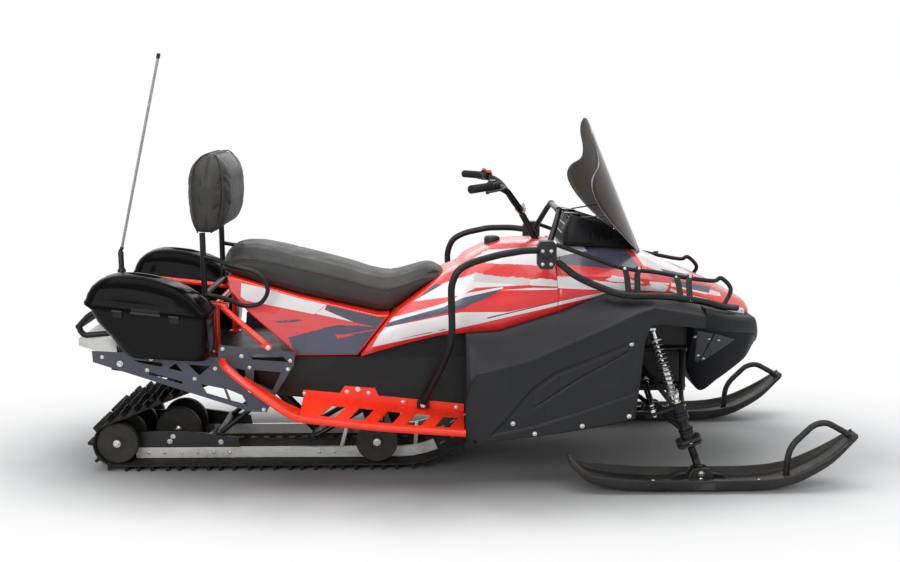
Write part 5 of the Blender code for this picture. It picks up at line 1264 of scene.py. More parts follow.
def make_rear_frames():
    red, black, fixings = [], [], []
    loop = [(-0.95, -RACK_Y, 0.7), (-1.44, -RACK_Y, 0.755), (-1.44, RACK_Y, 0.755), (-0.95, RACK_Y, 0.7)]
    red.append(bent(loop, FRAME_R, 0.035))
    for x in (-1.35, -1.0):
        for side in (-1, 1):
            red.append(rod((x, side * RACK_Y, 0.5005), (x, side * RACK_Y, rack_z(x)), FRAME_R, 20))
            red.append(weld((x, side * RACK_Y, rack_z(x) - 0.013), (0, 0, 1), FRAME_R))
            red.append(block((x - 0.026, x + 0.026), (side * RACK_Y - 0.02, side * RACK_Y + 0.02),
                (0.5005, 0.5045)))
            fixings.append(bolt((x - 0.019, side * RACK_Y, 0.5045), (0, 0, 1), 0.0045))
            fixings.append(bolt((x + 0.019, side * RACK_Y, 0.5045), (0, 0, 1), 0.0045))
    red.append(rod((-1.0, -RACK_Y, rack_z(-1.0)), (-1.0, RACK_Y, rack_z(-1.0)), FRAME_R, 20))
    red.append(rod((-1.35, -RACK_Y, 0.655), (-1.35, RACK_Y, 0.655), FRAME_R, 20))
    for side in (-1, 1):
        brace = [(-0.985, side * 0.19, 0.7), (-0.945, side * 0.27, 0.69), (-0.783, side * 0.326, 0.565)]
        red.append(bent(brace, FRAME_R, 0.03))
        foot = vec(-0.776, side * 0.333, 0.559)
        red.append(extrude(mm("-18 -13, 16 -13, 22 0, 16 13, -18 13"), foot + vec(0, side * 0.003, 0),
            (0.79, 0, -0.61), (0.61, 0, 0.79), 0.007))
        fixings.append(bolt(foot + vec(0.006, side * 0.0068, -0.005), (0, side, 0), 0.0065))
    piece("rack_tubes", red, "red_powder", replaces=("rear_rack",), smooth=45)
    for side in (-1, 1):
        y = side * RACK_Y
        path = [(-1.3625, y, 0.69), (-1.4025, y, 0.69), (-1.515, y, 0.672), (-1.573, y, 0.612),
            (-1.553, y, 0.575), (-1.4025, y, 0.588), (-1.3625, y, 0.588)]
        black.append(bent(path, FRAME_R, 0.035))
        black.append(weld((-1.366, y, 0.69), (1, 0, 0), FRAME_R))
        black.append(weld((-1.366, y, 0.588), (1, 0, 0), FRAME_R))
    black.append(rod((-1.573, -RACK_Y, 0.612), (-1.573, RACK_Y, 0.612), FRAME_R, 20))
    piece("bumper_tubes", black, "powder_black", replaces=("rear_bumper",), smooth=45)
    for y in (-0.14, 0.14):
        fixings += [nut((-1.5755, y + 0.03, 0.549), (-1, 0, 0), 0.005),
            bolt((-1.5755, y + 0.012, 0.549), (-1, 0, 0), 0.005)]
    piece("rear_fixings", fixings, "bolt")
    housing = [block((-1.3725, -1.3625), (-0.09, 0.09), (0.63, 0.68))]
    lens = []
    for index in range(11):
        y = -0.088 + 0.016 * index
        lens.append(lathe(mm("0.1 0, 8.5 0, 9.2 4, 8.5 40.5, 3 44.5"), (-1.3835, y + 0.008, 0.633),
            (0, 0, 1), 14))
    lens.append(block((-1.384, -1.3725), (-0.088, 0.088), (0.633, 0.677)))
    piece("tail_lamp_housing", housing, "body_plastic", bevel=0.002, slot="black_frame")
    piece("tail_lamp_lens", lens, "red_lens", replaces=("tail_light",))


def make_backrest_frame():
    shapes = []
    foot = rack_z(POST_X - FRAME_R) + FRAME_R + 0.0006
    for side in (-1, 1):
        y = side * RACK_Y
        shapes.append(rod((POST_X, y, foot), (POST_X, y, 1.0017), FRAME_R, 20))
        shapes.append(weld((POST_X, y, foot + 0.003), (0, 0, 1), FRAME_R))
        loop = [(POST_X, y, 0.905), (-0.985, side * 0.216, 0.892), (-0.93, side * 0.27, 0.88),
            (-0.812, side * 0.29, 0.855), (-0.764, side * 0.292, 0.785), (-0.797, side * 0.29, 0.724),
            (-0.87, side * 0.275, 0.708), (-0.96, side * 0.22, 0.735), (POST_X, y, 0.745)]
        shapes.append(bent(loop, 0.009, 0.035, 16))
        shapes.append(weld((POST_X, y, 0.745), (0, 0, 1), FRAME_R))
    shapes.append(rod((POST_X, -RACK_Y, 0.745), (POST_X, RACK_Y, 0.745), FRAME_R, 20))
    piece("backrest_tubes", shapes, "powder_black", replaces=("backrest_frame",), smooth=45)


def make_whip():
    foot = vec(-1.44, 0, 0.7673)
    lean = vec(0.241, 0, 1).normalized()
    profile = [(0.0175, 0), (0.018, 0.003)]
    for index in range(6):
        profile += [(0.018, 0.006 + 0.0065 * index), (0.0165, 0.0075 + 0.0065 * index),
            (0.0165, 0.0095 + 0.0065 * index), (0.018, 0.011 + 0.0065 * index)]
    profile += mm("17.8 48, 12.5 58, 11.5 62, 11.8 126, 9.5 131, 6.2 139")
    base = lathe(profile, foot, (0, 0, 1), 28)
    start = foot + vec(0, 0, 0.12)
    length = (1.727 - start.z) / lean.z
    cap_at = start + (length - 0.02) * lean
    cap = lathe(mm("5.5 -2, 7.8 0, 8 16, 6 19.8"), cap_at, lean, 20)
    collar = lathe(mm("6.4 18, 7.8 19, 7.8 28, 6.4 30"), start, lean, 20)
    piece("whip_base", merge(base, cap, collar), "powder_black", replaces=("whip_mast",))
    piece("whip_rod", rod(start + 0.02 * lean, cap_at, 0.0062, 16), "clear_rod")
    core = spring(start + 0.03 * lean, cap_at, 0.0034, 0.0012, 62, 6, 12)
    piece("whip_spiral", core, "whip_light")


def make_guards():
    plates, fixings = [], []
    for side in (-1, 1):
        path = mm("""-147 303 305, -73 375 473, -40 425 570, -30 447 640, -34 447 826, -10 446 885,
            45 443 915, 156 420 942, 260 365 950, 322 334 946""")
        guard = [sweep(smooth_path(eased(path, 0.03, 3), 3), 0.014, 24)]
        foot = mm("-172 289.5, -122 289.5, -122 313, -134 325, -160 325, -172 313")
        guard.append(prism(foot, 0.2896, 0.3096))
        sided("guard_hoop", guard, "powder_black", side, stands_for="guard_bar", bevel=0.0008, smooth=45)
        clamp = mm("311.5 965, 324 984, 376 984, 388.5 968, 388.5 900, 374 871, 326 871, 311.5 890")
        shapes = [prism(clamp, 0.3105, 0.3495), prism(mm("""318 955, 350 978, 380 960, 380 930, 345 918,
            318 930"""), 0.3485, 0.356)]
        sided("guard_clamp", shapes, "clamp", side, bevel=0.0022)
        for x, z in ((0.332, 0.946), (0.366, 0.946)):
            fixings.append(on_side(bolt((x, 0.356, z), (0, 1, 0), 0.005), side))
        for x, z in ((0.333, 0.892), (0.367, 0.892)):
            fixings.append(on_side(bolt((x, 0.3495, z), (0, 1, 0), 0.005), side))
        fixings.append(on_side(nut((-0.147, 0.3096, 0.301), (0, 1, 0), 0.0075), side))
        lower = mm("""390.5 332 890, 405.5 332 890, 470 350 842, 580 372 795, 670 388 772, 822 396 768,
            980 370 741, 1070 320 712, 1150 240 690""")
        upper = mm("""390.5 332 963, 402.5 332 963, 542 332 912, 659 330 872, 791 326 855, 909 318 832,
            1034 290 812, 1070 284 822, 1112 280 775, 1080 306 716""")
        rails = [sweep(smooth_path(lower, 6), 0.0138, 24), sweep(smooth_path(upper, 6), 0.0088, 18)]
        sided("front_rails", rails, "powder_black", side, stands_for="front_guard", smooth=45)
        for x, high, low in ((0.69, (0.334, 0.872), (0.397, 0.766)), (0.9, (0.324, 0.836), (0.395, 0.75))):
            top, bottom = vec(x, high[0] + 0.004, high[1]), vec(x, low[0], low[1])
            down = (bottom - top).normalized()
            for shift, lean in ((-0.02, -0.006), (0.022, 0.01)):
                line = [top + vec(shift + lean, 0, 0) - 0.008 * down, top + vec(shift, 0, 0) + 0.03 * down,
                    bottom + vec(shift * 0.8, 0, 0) + 0.006 * down]
                plates.append(on_side(strap(line, 0.024, 0.0032, (1, 0, 0)), side))
                out = vec(0, 0.86, 0.5)
                for spot in (line[0] + 0.008 * down, line[2] - 0.01 * down):
                    fixings.append(on_side(bolt(spot + 0.0018 * out, out, 0.0042), side))
    piece("guard_plates", plates, "powder_black", bevel=0.0008)
    piece("guard_fixings", fixings, "bolt")
    reach = 0.3097
    right = [(0.35, -reach, 0.94), (0.35, 0.014 - reach, 0.94), (0.368, 0.03 - reach, 0.968),
        (0.418, -0.165, 1.085)]
    path = right + [(x, -y, z) for x, y, z in reversed(right)]
    hoop = [bent(path, 0.012, 0.045, 24)]
    for y in (-0.13, 0.13):
        hoop.append(lathe(mm("12.5 -12, 15 -11, 15 11, 12.5 12"), (0.418, y, 1.085), (0, 1, 0), 24))
    piece("hoop_tube", hoop, "powder_black", replaces=("steering_hoop",), smooth=45)


# steering
LEAN = math.radians(28.8)
COLUMN = vec(-math.sin(LEAN), 0, math.cos(LEAN))
COLUMN_TOP = vec(0.285, 0, 1.043)


def make_handlebar():
    clamp = COLUMN_TOP + COLUMN * 0.03
    right = [(0.045, -0.405, 1.196), (0.145, -0.27, 1.198), (0.195, -0.195, 1.18),
        (clamp.x, -0.075, clamp.z + 0.008)]
    path = right + [(x, -y, z) for x, y, z in reversed(right)]
    dark = [bent(path, 0.011, 0.05)]
    rubber, metal, red = [], [], []
    for side in (-1, 1):
        start, end = vec(0.043, side * 0.4077, 1.196), vec(0.12, side * 0.304, 1.1975)
        along = (end - start).normalized()
        length = (end - start).length
        profile = mm("12 0, 16.5 1, 17 5")
        for ring in range(14):
            at = 0.009 + ring * (length - 0.018) / 14
            profile += [(0.0168, at), (0.0154, at + 0.0022), (0.0154, at + 0.0042), (0.0168, at + 0.0064)]
        profile += [(0.017, length - 0.005), (0.0168, length)]
        rubber.append(lathe(profile, start, along, 28))
        hub = vec(0.152, side * 0.262, 1.196)
        body = [(0.015, 0.0), (0.0215, 0.002), (0.022, 0.012), (0.0205, 0.014), (0.0205, 0.017),
            (0.022, 0.019), (0.0215, (hub - end).length - 0.006), (0.016, (hub - end).length - 0.003)]
        dark.append(lathe(body, end + along * 0.004, along, 28))
        box = hub + vec(-0.004, 0, 0.014) - along * 0.02
        dark.append(extrude(mm("-16 -10, 16 -10, 18 4, 8 13, -14 12"), box, along, (0, 0, 1), 0.026))
        lever = [hub + vec(0.01, 0, -0.004), hub + vec(0.03, side * 0.02, -0.008),
            vec(0.142, side * 0.33, 1.182), vec(0.11, side * 0.37, 1.18)]
        metal.append(sweep(smooth_path(lever, 8), 0.0052, 12, taper=[1.0 - 0.35 * n / 24
            for n in range(25)]))
        metal.append(lathe(mm("0.1 -5.5, 6.2 -5, 7.2 0, 6.2 5, 0.1 5.5"), lever[-1], lever[-1] - lever[-2],
            12))
        cable = [hub + vec(0.012, -side * 0.006, -0.01), vec(0.2, side * 0.185, 1.158),
            vec(0.245, side * 0.11, 1.09), vec(clamp.x + 0.016, side * 0.05, clamp.z - 0.014),
            vec(clamp.x + 0.02, side * 0.016, clamp.z - 0.028)]
        for shift in (0.0, 0.0085):
            dark.append(sweep(smooth_path([p + vec(shift * 0.6, 0, -shift) for p in cable], 8), 0.0034, 10))
    switch = vec(0.128, 0.285, 1.2175)
    red.append(lathe(mm("7.5 0, 8.5 2, 8.5 10, 6 13, 0.1 13.5"), switch, (0.15, 0, 1), 20))
    red.append(extrude(mm("-12 -4, 14 -4, 10 7, -10 7"), vec(0.15, 0.25, 1.2175), (0.6, -0.8, 0), (0, 0, 1),
        0.01))
    metal_clamp = [lathe(mm("12.5 -40, 21 -39, 21 -14, 18.5 -12, 18.5 12, 21 14, 21 39, 12.5 40"),
        (clamp.x, 0, clamp.z + 0.008), (0, 1, 0), 28)]
    for y in (-0.028, 0.028):
        for x in (-0.013, 0.013):
            metal_clamp.append(rod((clamp.x + x, y, clamp.z + 0.012), (clamp.x + x, y, clamp.z + 0.031),
                0.0042, 12, 0.0008))
    foot = COLUMN_TOP - COLUMN * ((COLUMN_TOP.z - 0.87) / COLUMN.z)
    dark.append(rod(foot, clamp, 0.0138, 24))
    body = "handlebar_body"
    piece("bar_and_column", dark, "powder_black", body, replaces=("handlebar",), smooth=45)
    piece("grips", rubber, "rubber", body, smooth=50)
    piece("levers", metal, "dark_metal", body)
    piece("bar_clamp", metal_clamp, "silver", body)
    piece("stop_switch", red, "red_powder", body, bevel=0.0006)


make_rear_frames()
make_backrest_frame()
make_whip()
make_guards()
make_handlebar()


# front suspension, skis, screen and the small fittings
SKI_Y, SKI_TIP, SKI_HALF = 0.463, 1.585, 0.0875
# along the spindle, and square to it towards the rear
AXIS, BACK = vec(-0.33545, 0, 0.94206), vec(-0.94206, 0, -0.33545)


def kingpin(along, side=1):
    return vec(0.955, side * SKI_Y, 0.096) + along * AXIS


def ski_edges():
    """The ski's section tables, from tail to tip: x, bottom, wall height and half width."""
    table = mm("""1147 102 26 570, 1081 42 40 890, 985 16 52 1000, 865 3 55 1000, 735 0 55 1000,
        485 0 55 1000, 366 4 55 1000, 285 18 52 990, 212 43 48 950, 100 108 42 800, 0 200 26 480""")
    return [(SKI_TIP - behind, bottom, wall, SKI_HALF * share) for behind, bottom, wall, share in table]


def make_skis():
    for side in (-1, 1):
        rings = []
        for x, low, wall, half in ski_edges():
            top = low + wall
            right = [(0.012, low), (0.03, low + 0.001), (half * 0.8, low + 0.007),
                (half * 0.93, low + 0.015), (half * 0.985, low + wall * 0.45), (half, top - 0.008),
                (half, top - 0.002), (half - 0.003, top), (half - 0.008, top), (half - 0.0105, top - 0.003),
                (half - 0.013, low + 0.03), (half - 0.019, low + 0.023), (half * 0.45, low + 0.0215),
                (half * 0.36, low + 0.025), (0.014, low + 0.025)]
            rings.append([(x, SKI_Y - y, z) for y, z in right]
                + [(x, SKI_Y + y, z) for y, z in reversed(right)])
        fine = [[(x, min(max(y, SKI_Y - SKI_HALF), SKI_Y + SKI_HALF), max(z, 0.0)) for x, y, z in ring]
            for ring in refine(rings, 5)]
        shapes = [skin(fine)]
        for way in (-1, 1):
            ear = mm("912 20, 1028 20, 1014 62, 1000 80, 988 85, 948 85, 937 80, 924 62")
            shapes.append(prism(ear, SKI_Y + way * 0.0165, SKI_Y + way * 0.0281))
        saddle = mm("845 21.5, 872 36, 905 42, 1035 42, 1070 36, 1100 21.5")
        for way in (-1, 1):
            shapes.append(prism(saddle, SKI_Y + way * 0.029, SKI_Y + way * 0.06))
        sided("ski_blade", shapes, "ski_plastic", side, "ski", stands_for="ski", bevel=0.0012, smooth=40)
        line = mm("1318 30, 1324 160, 1420 256, 1470 266, 1550 222, 1566 205")
        path = smooth_path(eased([(x, SKI_Y, z) for x, z in line], 0.05, 6), 3)
        taper = [0.93 + 0.07 * (index % 2) for index in range(len(path))]
        loop = [sweep(path, 0.0128, 20, taper), lathe(mm("12.5 0, 18.5 2, 18.5 9, 13 13"),
            (1.318, SKI_Y, 0.026), (0, 0, 1), 20)]
        sided("ski_loop", loop, "loop_wrap", side, "ski")
        runner, metal = [], []
        bottom = [(x, SKI_Y, low + 0.0045) for x, low, wall, half in ski_edges()[2:8]]
        runner.append(sweep([(x, y, max(z, 0.0042)) for x, y, z in smooth_path(bottom, 5)], 0.0035, 8))
        for way in (-1, 1):
            plate = mm("925 27.5, 1012 27.5, 1012 53.5, 925 53.5")
            runner.append(prism(plate, SKI_Y + way * 0.077, SKI_Y + way * 0.085))
            metal.append(bolt((0.967, SKI_Y + way * 0.028, 0.04), (0, way, 0), 0.0065))
        metal += [nut((0.967, SKI_Y + way * 0.0282, 0.062), (0, way, 0), 0.0085) for way in (-1, 1)]
        for way in (-1, 1):
            pad = mm("920 18, 1010 18, 1010 50.5, 920 50.5")
            runner.append(prism(pad, SKI_Y + way * 0.0845, SKI_Y + way * 0.0874))
        sided("ski_runner", runner, "dark_metal", side, "ski", slot="steel")
        for x in (0.78, 1.21):
            metal.append(bolt((x, SKI_Y, 0.0255), (0, 0, 1), 0.006))
        sided("ski_fixings", metal, "bolt", side, "ski")


def make_knuckles():
    for side in (-1, 1):
        profile = mm("""12.5 -36, 15.5 -33, 16 -28, 16 20, 14.8 22, 14.8 30, 16 32, 16 76, 20.5 80, 25.5 86,
            26 89, 26 96, 23.5 98, 23.5 110, 26 112, 26 124.3, 16 124.3, 16 155.7, 23.8 155.7, 23.8 164,
            19 168, 19 189, 23.8 192, 23.8 199.3, 16 199.3, 16 230.7, 26 230.7, 26 262, 24.5 263.8,
            18 263.8, 18 273, 16 274""")
        shapes = [lathe(profile, kingpin(0), AXIS, 32)]
        outline = mm("""-10 -19, 30 -17, 86 -12.5, 102 -15, 113 -10.5, 115.8 0, 113 10.5, 102 15, 86 12.5,
            30 17, -10 19""")
        shapes.append(extrude(outline, kingpin(0.258), BACK, (0, 1, 0), 0.0118))
        sided("knuckle_arm", shapes, "powder_black", side, "ski", stands_for="knuckle", bevel=0.0008)
        # the clamp plates round the spindle under the lower arm
        grip = []
        for low, high, half in ((0.088, 0.098, 0.031), (0.1035, 0.1165, 0.034)):
            plate = [(-0.036, -half), (0.036, -half), (0.052, -0.6 * half), (0.052, 0.6 * half),
                (0.036, half), (-0.036, half), (-0.048, 0.5 * half), (-0.048, -0.5 * half)]
            grip.append(extrude(plate, kingpin((low + high) / 2), BACK, (0, 1, 0), high - low))
        for along in (-0.034, 0.038):
            for y in (-0.019, 0.019):
                foot = kingpin(0.084) + along * BACK + vec(0, y, 0)
                grip.append(rod(foot, foot + 0.0365 * AXIS, 0.0046, 10))
        sided("knuckle_clamp", grip, "clamp", side, "ski", bevel=0.0008)
        pin = kingpin(0.2515) + 0.1 * BACK
        metal = [nut(pin, -AXIS, 0.0078), nut(kingpin(0.274) - 0.001 * AXIS, AXIS, 0.012)]
        for way in (-1, 1):
            metal.append(nut(kingpin(0.104) + vec(0, way * 0.0235, 0), (0, way, 0), 0.0065))
        sided("knuckle_fixings", metal, "bolt", side, "ski")


ARM_Y = 0.1733  # the wishbones' inner pivots


def make_arms():
    for side in (-1, 1):
        for storey, rear, front, z, at in (("lower", 0.69, 0.965, 0.34, 0.14),
                                           ("upper", 0.7, 0.965, 0.5, 0.215)):
            eye = kingpin(at)
            ring = mm("""16.8 -14.8, 29.5 -14.8, 30 -12, 30 -8, 28.5 -6, 28.5 6, 30 8, 30 12, 29.5 14.8,
                16.8 14.8""")
            shapes = [lathe(ring, eye, AXIS, 32, closed=True), lathe([(0.0098, 0), (0.0118, 0.002),
                (0.0118, front - rear - 0.002), (0.0098, front - rear)], (rear, ARM_Y, z), (1, 0, 0), 20)]
            for x in (rear + 0.02, front - 0.02):
                start = vec(x, ARM_Y, z)
                reach = (eye - start).normalized()
                end = eye - 0.026 * reach
                path = [start + (end - start) * share for share in (0, 0.12, 0.16, 0.5, 0.86, 0.92, 1)]
                shapes.append(sweep(path, 0.0108, 20, [1.0, 1.0, 0.92, 0.92, 0.92, 1.0, 1.0]))
                shapes.append(weld(start + 0.013 * reach, reach, 0.0105))
            if storey == "lower":
                foot_z = 0.2794
                shapes.append(rod((0.832, 0.33, foot_z), (0.926, 0.33, foot_z), 0.009, 18, 0.001))
                for x in (0.862, 0.9235):
                    shapes.append(block((x, x + 0.004), (0.316, 0.344), (foot_z - 0.006, foot_z + 0.034)))
            sided(storey + "_wishbone", shapes, "powder_black", side, stands_for=storey + "_arm", smooth=42)
    caps = []
    for side in (-1, 1):
        for rear, front, z in ((0.69, 0.965, 0.34), (0.7, 0.965, 0.5)):
            caps.append(on_side(bolt((front - 0.001, ARM_Y, z), (1, 0, 0), 0.0072), side))
            caps.append(on_side(bolt((rear + 0.001, ARM_Y, z), (-1, 0, 0), 0.0072), side))
        for x, way in ((0.862, -1), (0.9275, 1)):
            caps.append(on_side(nut((x, 0.33, 0.302), (way, 0, 0), 0.0055), side))
    piece("arm_fixings", caps, "bolt")


def make_shocks():
    for side in (-1, 1):
        foot, head = vec(0.893, 0.33, 0.302), vec(0.79, 0.3, 0.6164)
        along = (head - foot).normalized()
        span = (head - foot).length
        cylinder = [(0.0085, 0.008), (0.011, 0.014), (0.0168, 0.024), (0.0172, 0.03), (0.0172, 0.15),
            (0.0155, 0.152), (0.0155, 0.156), (0.0122, 0.158), (0.0122, 0.176), (0.007, 0.18),
            (0.007, span - 0.05), (0.0125, span - 0.045), (0.0125, span - 0.012), (0.0085, span - 0.008)]
        shapes = [lathe(cylinder, foot, along, 24)]
        for place in (foot, head):
            shapes.append(lathe(mm("7.5 -13.5, 12.5 -13.5, 13 -12.5, 13 12.5, 12.5 13.5, 7.5 13.5"), place,
                (1, 0, 0), 24, closed=True))
        sided("damper", shapes, "chrome", side, stands_for="shock")
        collars = []
        for at, wide in ((0.046, 0.0255), (0.056, 0.0235), (span - 0.052, 0.0255)):
            collars.append(lathe([(0.0165, at), (wide, at), (wide + 0.0004, at + 0.001),
                (wide + 0.0004, at + 0.006), (wide, at + 0.007), (0.0125, at + 0.007)], foot, along, 28))
        for place in (foot, head):
            collars.append(rod(place - vec(0.0139, 0, 0), place + vec(0.0139, 0, 0), 0.0078, 16))
        sided("shock_collars", collars, "silver", side)
        coil = spring(foot + 0.064 * along, foot + (span - 0.054) * along, 0.0222, 0.0034, 11, 10, 22)
        sided("shock_spring", coil, "coil", side, smooth=60)


def make_rods():
    shapes, boots = [], []
    tube = mm("10.5 0, 11.8 2, 11.8 448, 10.5 450")
    shapes.append(lathe(tube, (0.79, -0.225, 0.385), (0, 1, 0), 24))
    for side in (-1, 1):
        end = kingpin(0.265) + 0.1 * BACK
        start, stop = vec(0.79, 0.222, 0.385), end + 0.009 * AXIS
        run = stop - start
        path = [start + run * share for share in (0.0, 0.08, 0.1, 0.14, 0.145, 0.84, 0.845, 0.9, 0.905,
            1.0)]
        shapes.append(on_side(sweep(path, 0.0079, 18, [0.75, 0.75, 1, 1, 0.8, 0.8, 1, 1, 0.7, 0.7]), side))
        shapes.append(on_side(lathe(mm("11.5 0.4, 13.8 2, 14 7, 13.8 12, 11.5 13.7, 6 13.8"), end, AXIS,
            28), side))
        direction = run.normalized()
        profile = []
        for index in range(5):
            profile += [(0.0074, 0.016 + 0.004 * index), (0.0079, 0.018 + 0.004 * index)]
        boots.append(on_side(lathe(profile, start, direction, 20), side))
    piece("tie_rod_bars", shapes, "chrome", "rack_body", replaces=("tie_rods",))
    piece("tie_rod_boots", boots, "rubber", "rack_body", slot="chrome")


SCREEN_EDGE = mm("""150 900, 215 940, 267 976, 340 1056, 376 1136, 372 1200, 330 1245, 250 1280, 200 1330,
    165 1400, 115 1440, 45 1461""")


SCREEN_FOOT, SCREEN_RAKE, SCREEN_RADIUS = (0.787, 0.889), 0.421, 0.575  # foot at the middle (x, z)


def screen_at(y, z, behind=0.0):
    """A point of the raked, round screen, or as far behind it as is asked."""
    bow = SCREEN_RADIUS - math.sqrt(SCREEN_RADIUS ** 2 - y * y)
    return vec(SCREEN_FOOT[0] - SCREEN_RAKE * (z - SCREEN_FOOT[1]) - bow - behind, y, z)


def screen_foot(y):
    """Height at which the hood's top meets the screen, with its own clearance."""
    z = 0.89
    for _ in range(40):
        z = level(HOOD_LINE, screen_at(y, z).x) + 0.001
    return z


def make_screen():
    edge = smooth_path([(0, y, z) for y, z in SCREEN_EDGE], 4)
    shares = [index / 15 for index in range(-15, 16)]
    rows = [[(point.y * share, point.z) for share in shares] for point in edge]
    rows.append([(0.045 * share * 0.55, 1.4625) for share in shares])
    grid = [[screen_at(y, max(z, screen_foot(y)), 0.0002) for y, z in row] for row in rows]
    piece("screen_pane", sheet(grid), "smoke", replaces=("windshield",), smooth=60, wall=0.0036)
    rim = [(point.y - 0.0024, point.z) for point in edge if point.z > 0.915]
    rim = [screen_at(y, max(z, screen_foot(y)), 0.002) for y, z in rim]
    beads = [sweep([(p.x, way * p.y, p.z) for p in rim], 0.0021, 8) for way in (-1, 1)]
    piece("screen_edge", beads, "screen_rim")
    back = (-0.92, 0.0, -0.39)
    fixings = [bolt(screen_at(way * y, z, 0.0045), back, 0.0055) for y, z in ((0.15, 0.935), (0.205, 0.962))
        for way in (-1, 1)]
    fixings += [nut(screen_at(way * 0.225, 1.075, 0.0045), back, 0.0045) for way in (-1, 1)]
    struts = [sweep([vec(0.512, way * 0.166, 1.0585), screen_at(way * 0.225, 1.075, 0.006)], 0.003, 10)
        for way in (-1, 1)]
    piece("screen_fixings", fixings, "bolt")
    piece("screen_struts", struts, "dark_metal")


def make_dash():
    table = mm("""432 200 985, 446 208 1030, 468 215 1069.5, 490 215 1064.5, 512 215 1059.5, 560 195 1045,
        617 170 1029, 660 150 1001, 700 130 971, 785 85 924.5""")
    rings = []
    for x, half, top in table:
        low = level(HOOD_LINE, x) + 0.0008
        side = [(min(half, 0.185) - 0.002, low), (min(half, 0.185) + 0.002, min(low + 0.01, 0.952)),
            (half - 0.004, 0.954), (half - 0.001, 0.966), (half - 0.024, top - 0.016),
            (half - 0.034, top - 0.003), (half - 0.048, top - 0.0015)]
        side = [(y, max(z, low + 0.0005 * index)) for index, (y, z) in enumerate(side)]
        ring = [(-y, z) for y, z in side] + [(0, side[-1][1] - 0.004)] + [(y, z) for y, z in reversed(side)]
        rings.append([(min(x, screen_at(y, z, 0.005).x), y, z) for y, z in ring])
    piece("dash_cowl", skin(rings), "body_plastic", replaces=("dash",), smooth=42)
    ribs, glass = [], []
    slope = vec(0.08, 0, 0.12).normalized()
    for index in range(9):
        x = 0.4345 + 0.0035 * index
        z = 0.985 + (x - 0.432) * 2.35
        ribs.append(strap([(x - 0.002, y, z + 0.002) for y in (-0.15, -0.06, 0.06, 0.15)], 0.003, 0.003,
            slope))
    piece("dash_ribs", ribs[::4], "silver")
    piece("dash_fins", [rib for n, rib in enumerate(ribs) if n % 4], "gloss_black")
    for y in (-0.085, 0.085):
        centre = vec(0.484, y, 1.0655)
        glass.append(lathe(mm("0.1 2.2, 30 2.2, 34 1.2, 36 0, 36 -4"), centre, (0.12, 0, 1), 36))
    piece("dash_gauges", glass, "gloss_black")
    grips = []
    for side in (-1, 1):
        for share in (0.2, 0.4, 0.6, 0.8):
            x = 0.47 + 0.2 * share
            half = 0.213 - 0.16 * max(x - 0.512, 0)
            grips.append(on_side(strap([(x, half - 0.003, 0.968), (x + 0.006, half - 0.016, 1.01)], 0.01,
                0.002, (1, 0, 0)), side))
    piece("dash_vents", grips, "gloss_black")


HOOD_RIM = mm("415 330, 585 322, 751 312, 835 302, 1056 252, 1213 150, 1245 85")


def make_lamps():
    for side in (-1, 1):
        rings, cells = [], []
        for index in range(13):
            x = 1.057 + 0.0122 * index
            inner = level(HOOD_RIM, x) + 0.0007
            base = level(DECK, x) + 0.0004
            rings.append([(x, inner, base), (x, inner + 0.0215, base), (x, inner + 0.0195, base + 0.008),
                (x, inner + 0.0135, base + 0.0165), (x, inner + 0.006, base + 0.0195),
                (x, inner, base + 0.0195)])
            if index % 2:
                cells.append(lathe(mm("0.1 5.5, 4.2 5, 4.6 0, 4.6 -4"), (x, inner + 0.0155, base + 0.0125),
                    (0.15, 0.83, 0.54), 14))
        sided("lamp_strip", skin(refine(rings, 2)), "lens", side, stands_for="headlight")
        sided("lamp_cells", cells, "silver", side, slot="lamp")


def make_fuel_cap():
    profile = mm("0.1 35.7, 18 35.7, 24.5 34.5, 29 31.8, 31.5 28, 32 20, 32 6, 34 4, 34 0")
    grips = [lathe(profile, (0.15, 0, 0.9263), (0, 0, 1), 48)]
    for index in range(16):
        turn = 2 * math.pi * index / 16
        out = vec(math.cos(turn), math.sin(turn), 0)
        grips.append(rod(vec(0.15, 0, 0.9325) + 0.0318 * out, vec(0.15, 0, 0.955) + 0.0312 * out, 0.0021,
            8))
    grips.append(block((0.128, 0.172), (-0.004, 0.004), (0.958, 0.9618)))
    piece("fuel_cap_knob", grips, "clamp", replaces=("fuel_cap",), bevel=0.0008, slot="black_plastic")


TAIL_BOLTS = mm("""-1440 516, -1244 507, -1262 461, -880 517, -684 497, -849 469, -694 462, -988 466,
    -952 470, -797 292, -1072 424, -955 548""")


TAIL_FACE, BOARD_FACE, RAIL_FACE = 0.3331, 0.2894, 0.1683  # outer faces of plates, boards and rails


def make_small_bolts():
    shapes = []
    for side in (-1, 1):
        drawn = [bolt((x, TAIL_FACE, z), (0, 1, 0), 0.0055) for x, z in TAIL_BOLTS]
        drawn += [nut((x, TAIL_FACE, z), (0, 1, 0), 0.0085) for x, z in ((-1.37, 0.488), (-0.846, 0.376))]
        for x, z in mm("-460 354, -372 348, -636 346, -10 284, -230 309"):
            drawn.append(bolt((x, BOARD_FACE, z), (0, 1, 0), 0.0058))
        drawn.append(nut((-0.415, BOARD_FACE, 0.364), (0, 1, 0), 0.007))
        for x in (-1.318, -1.25, -1.178, -1.11, -1.042, -0.973, -0.59, -0.526, -0.457):
            drawn.append(bolt((x, RAIL_FACE, 0.053), (0, 1, 0), 0.005))
        for x, z in ((-1.226, 0.104), (-1.01, 0.1)):
            drawn.append(nut((x, RAIL_FACE, z), (0, 1, 0), 0.0075))
        shapes.append(on_side(merge(*drawn), side))
    piece("side_bolts", shapes, "bolt")


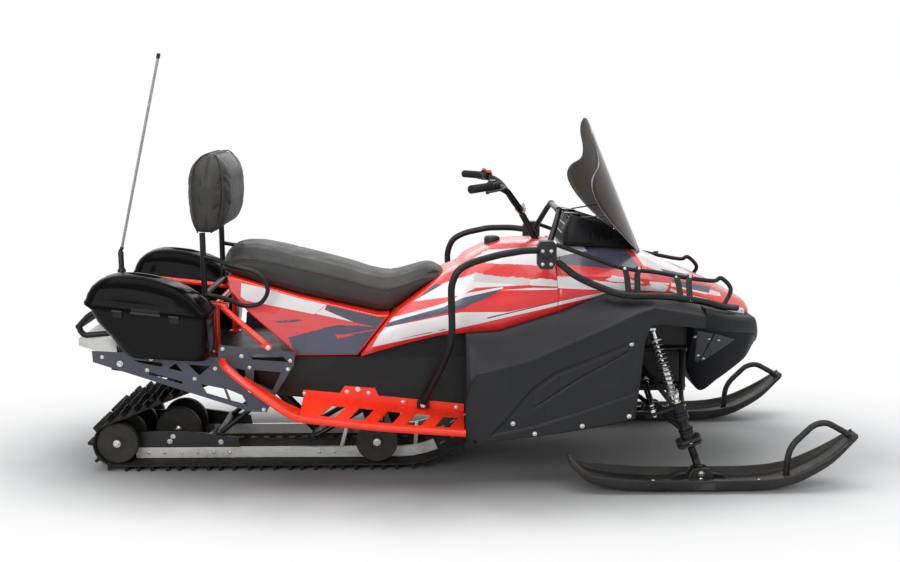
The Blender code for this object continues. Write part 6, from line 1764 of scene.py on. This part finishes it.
NOSE_SPOTS = mm("985 567, 1045 556, 1088 548, 1010 478, 1034 463")


def make_nose_plates():
    """The pale triangular plates bolted to the nose's lower sides."""
    skin_tree = made_tree("nose_shell")
    plates, heads = [], []
    for outline in (mm("990 595, 1062 582, 1014 440, 1000 452"),
                    mm("1070 580, 1165 545, 1030 448, 1022 452")):
        rows = []
        (ax, az), (bx, bz), (cx, cz), (dx, dz) = outline
        for i in range(13):
            s = i / 12
            row = []
            for j in range(13):
                t = j / 12
                x = (1 - t) * ((1 - s) * ax + s * bx) + t * ((1 - s) * dx + s * cx)
                z = (1 - t) * ((1 - s) * az + s * bz) + t * ((1 - s) * dz + s * cz)
                row.append(on_skin(skin_tree, x, z))
            rows.append(row)
        if all(point is not None for row in rows for point in row):
            plates.append(sheet([[point + vec(0, -0.0012, -0.0004) for point in row] for row in rows]))
    for x, z in NOSE_SPOTS:
        place = on_skin(skin_tree, x, z)
        if place is not None:
            heads.append(bolt(place + vec(0, -0.0012, -0.0005), (0.1, -0.75, -0.6), 0.0058))
    if plates:
        for side in (-1, 1):
            piece("nose_plate_" + side_name(side), merge(*plates) if side < 0 else mirrored(merge(*plates)),
                "nose_grey", wall=0.0008)
    if heads:
        piece("nose_bolts", merge(*heads, mirrored(merge(*heads))), "bolt")


def made_tree(name):
    thing = bpy.data.objects[name]
    points = [vertex.co.copy() for vertex in thing.data.vertices]
    return BVHTree.FromPolygons(points, [tuple(face.vertices) for face in thing.data.polygons])


def on_skin(tree, x, z):
    """The point of the right side's skin at (x, z), found from the right."""
    return tree.ray_cast(vec(x, -1.0, z), vec(0, 1, 0))[0]


HOOD_LINE = mm("415.5 944, 585 939, 751 914, 835 876, 1056 782, 1213 701, 1245 674")
make_skis()
make_knuckles()
make_arms()
make_shocks()
make_rods()
make_screen()
make_dash()
make_lamps()
make_fuel_cap()
make_small_bolts()
make_nose_plates()


def numbers(box):
    return [[round(value, 5) for value in corner] for corner in box]


{"cad": numbers(cad_box), "visual": numbers(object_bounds())}
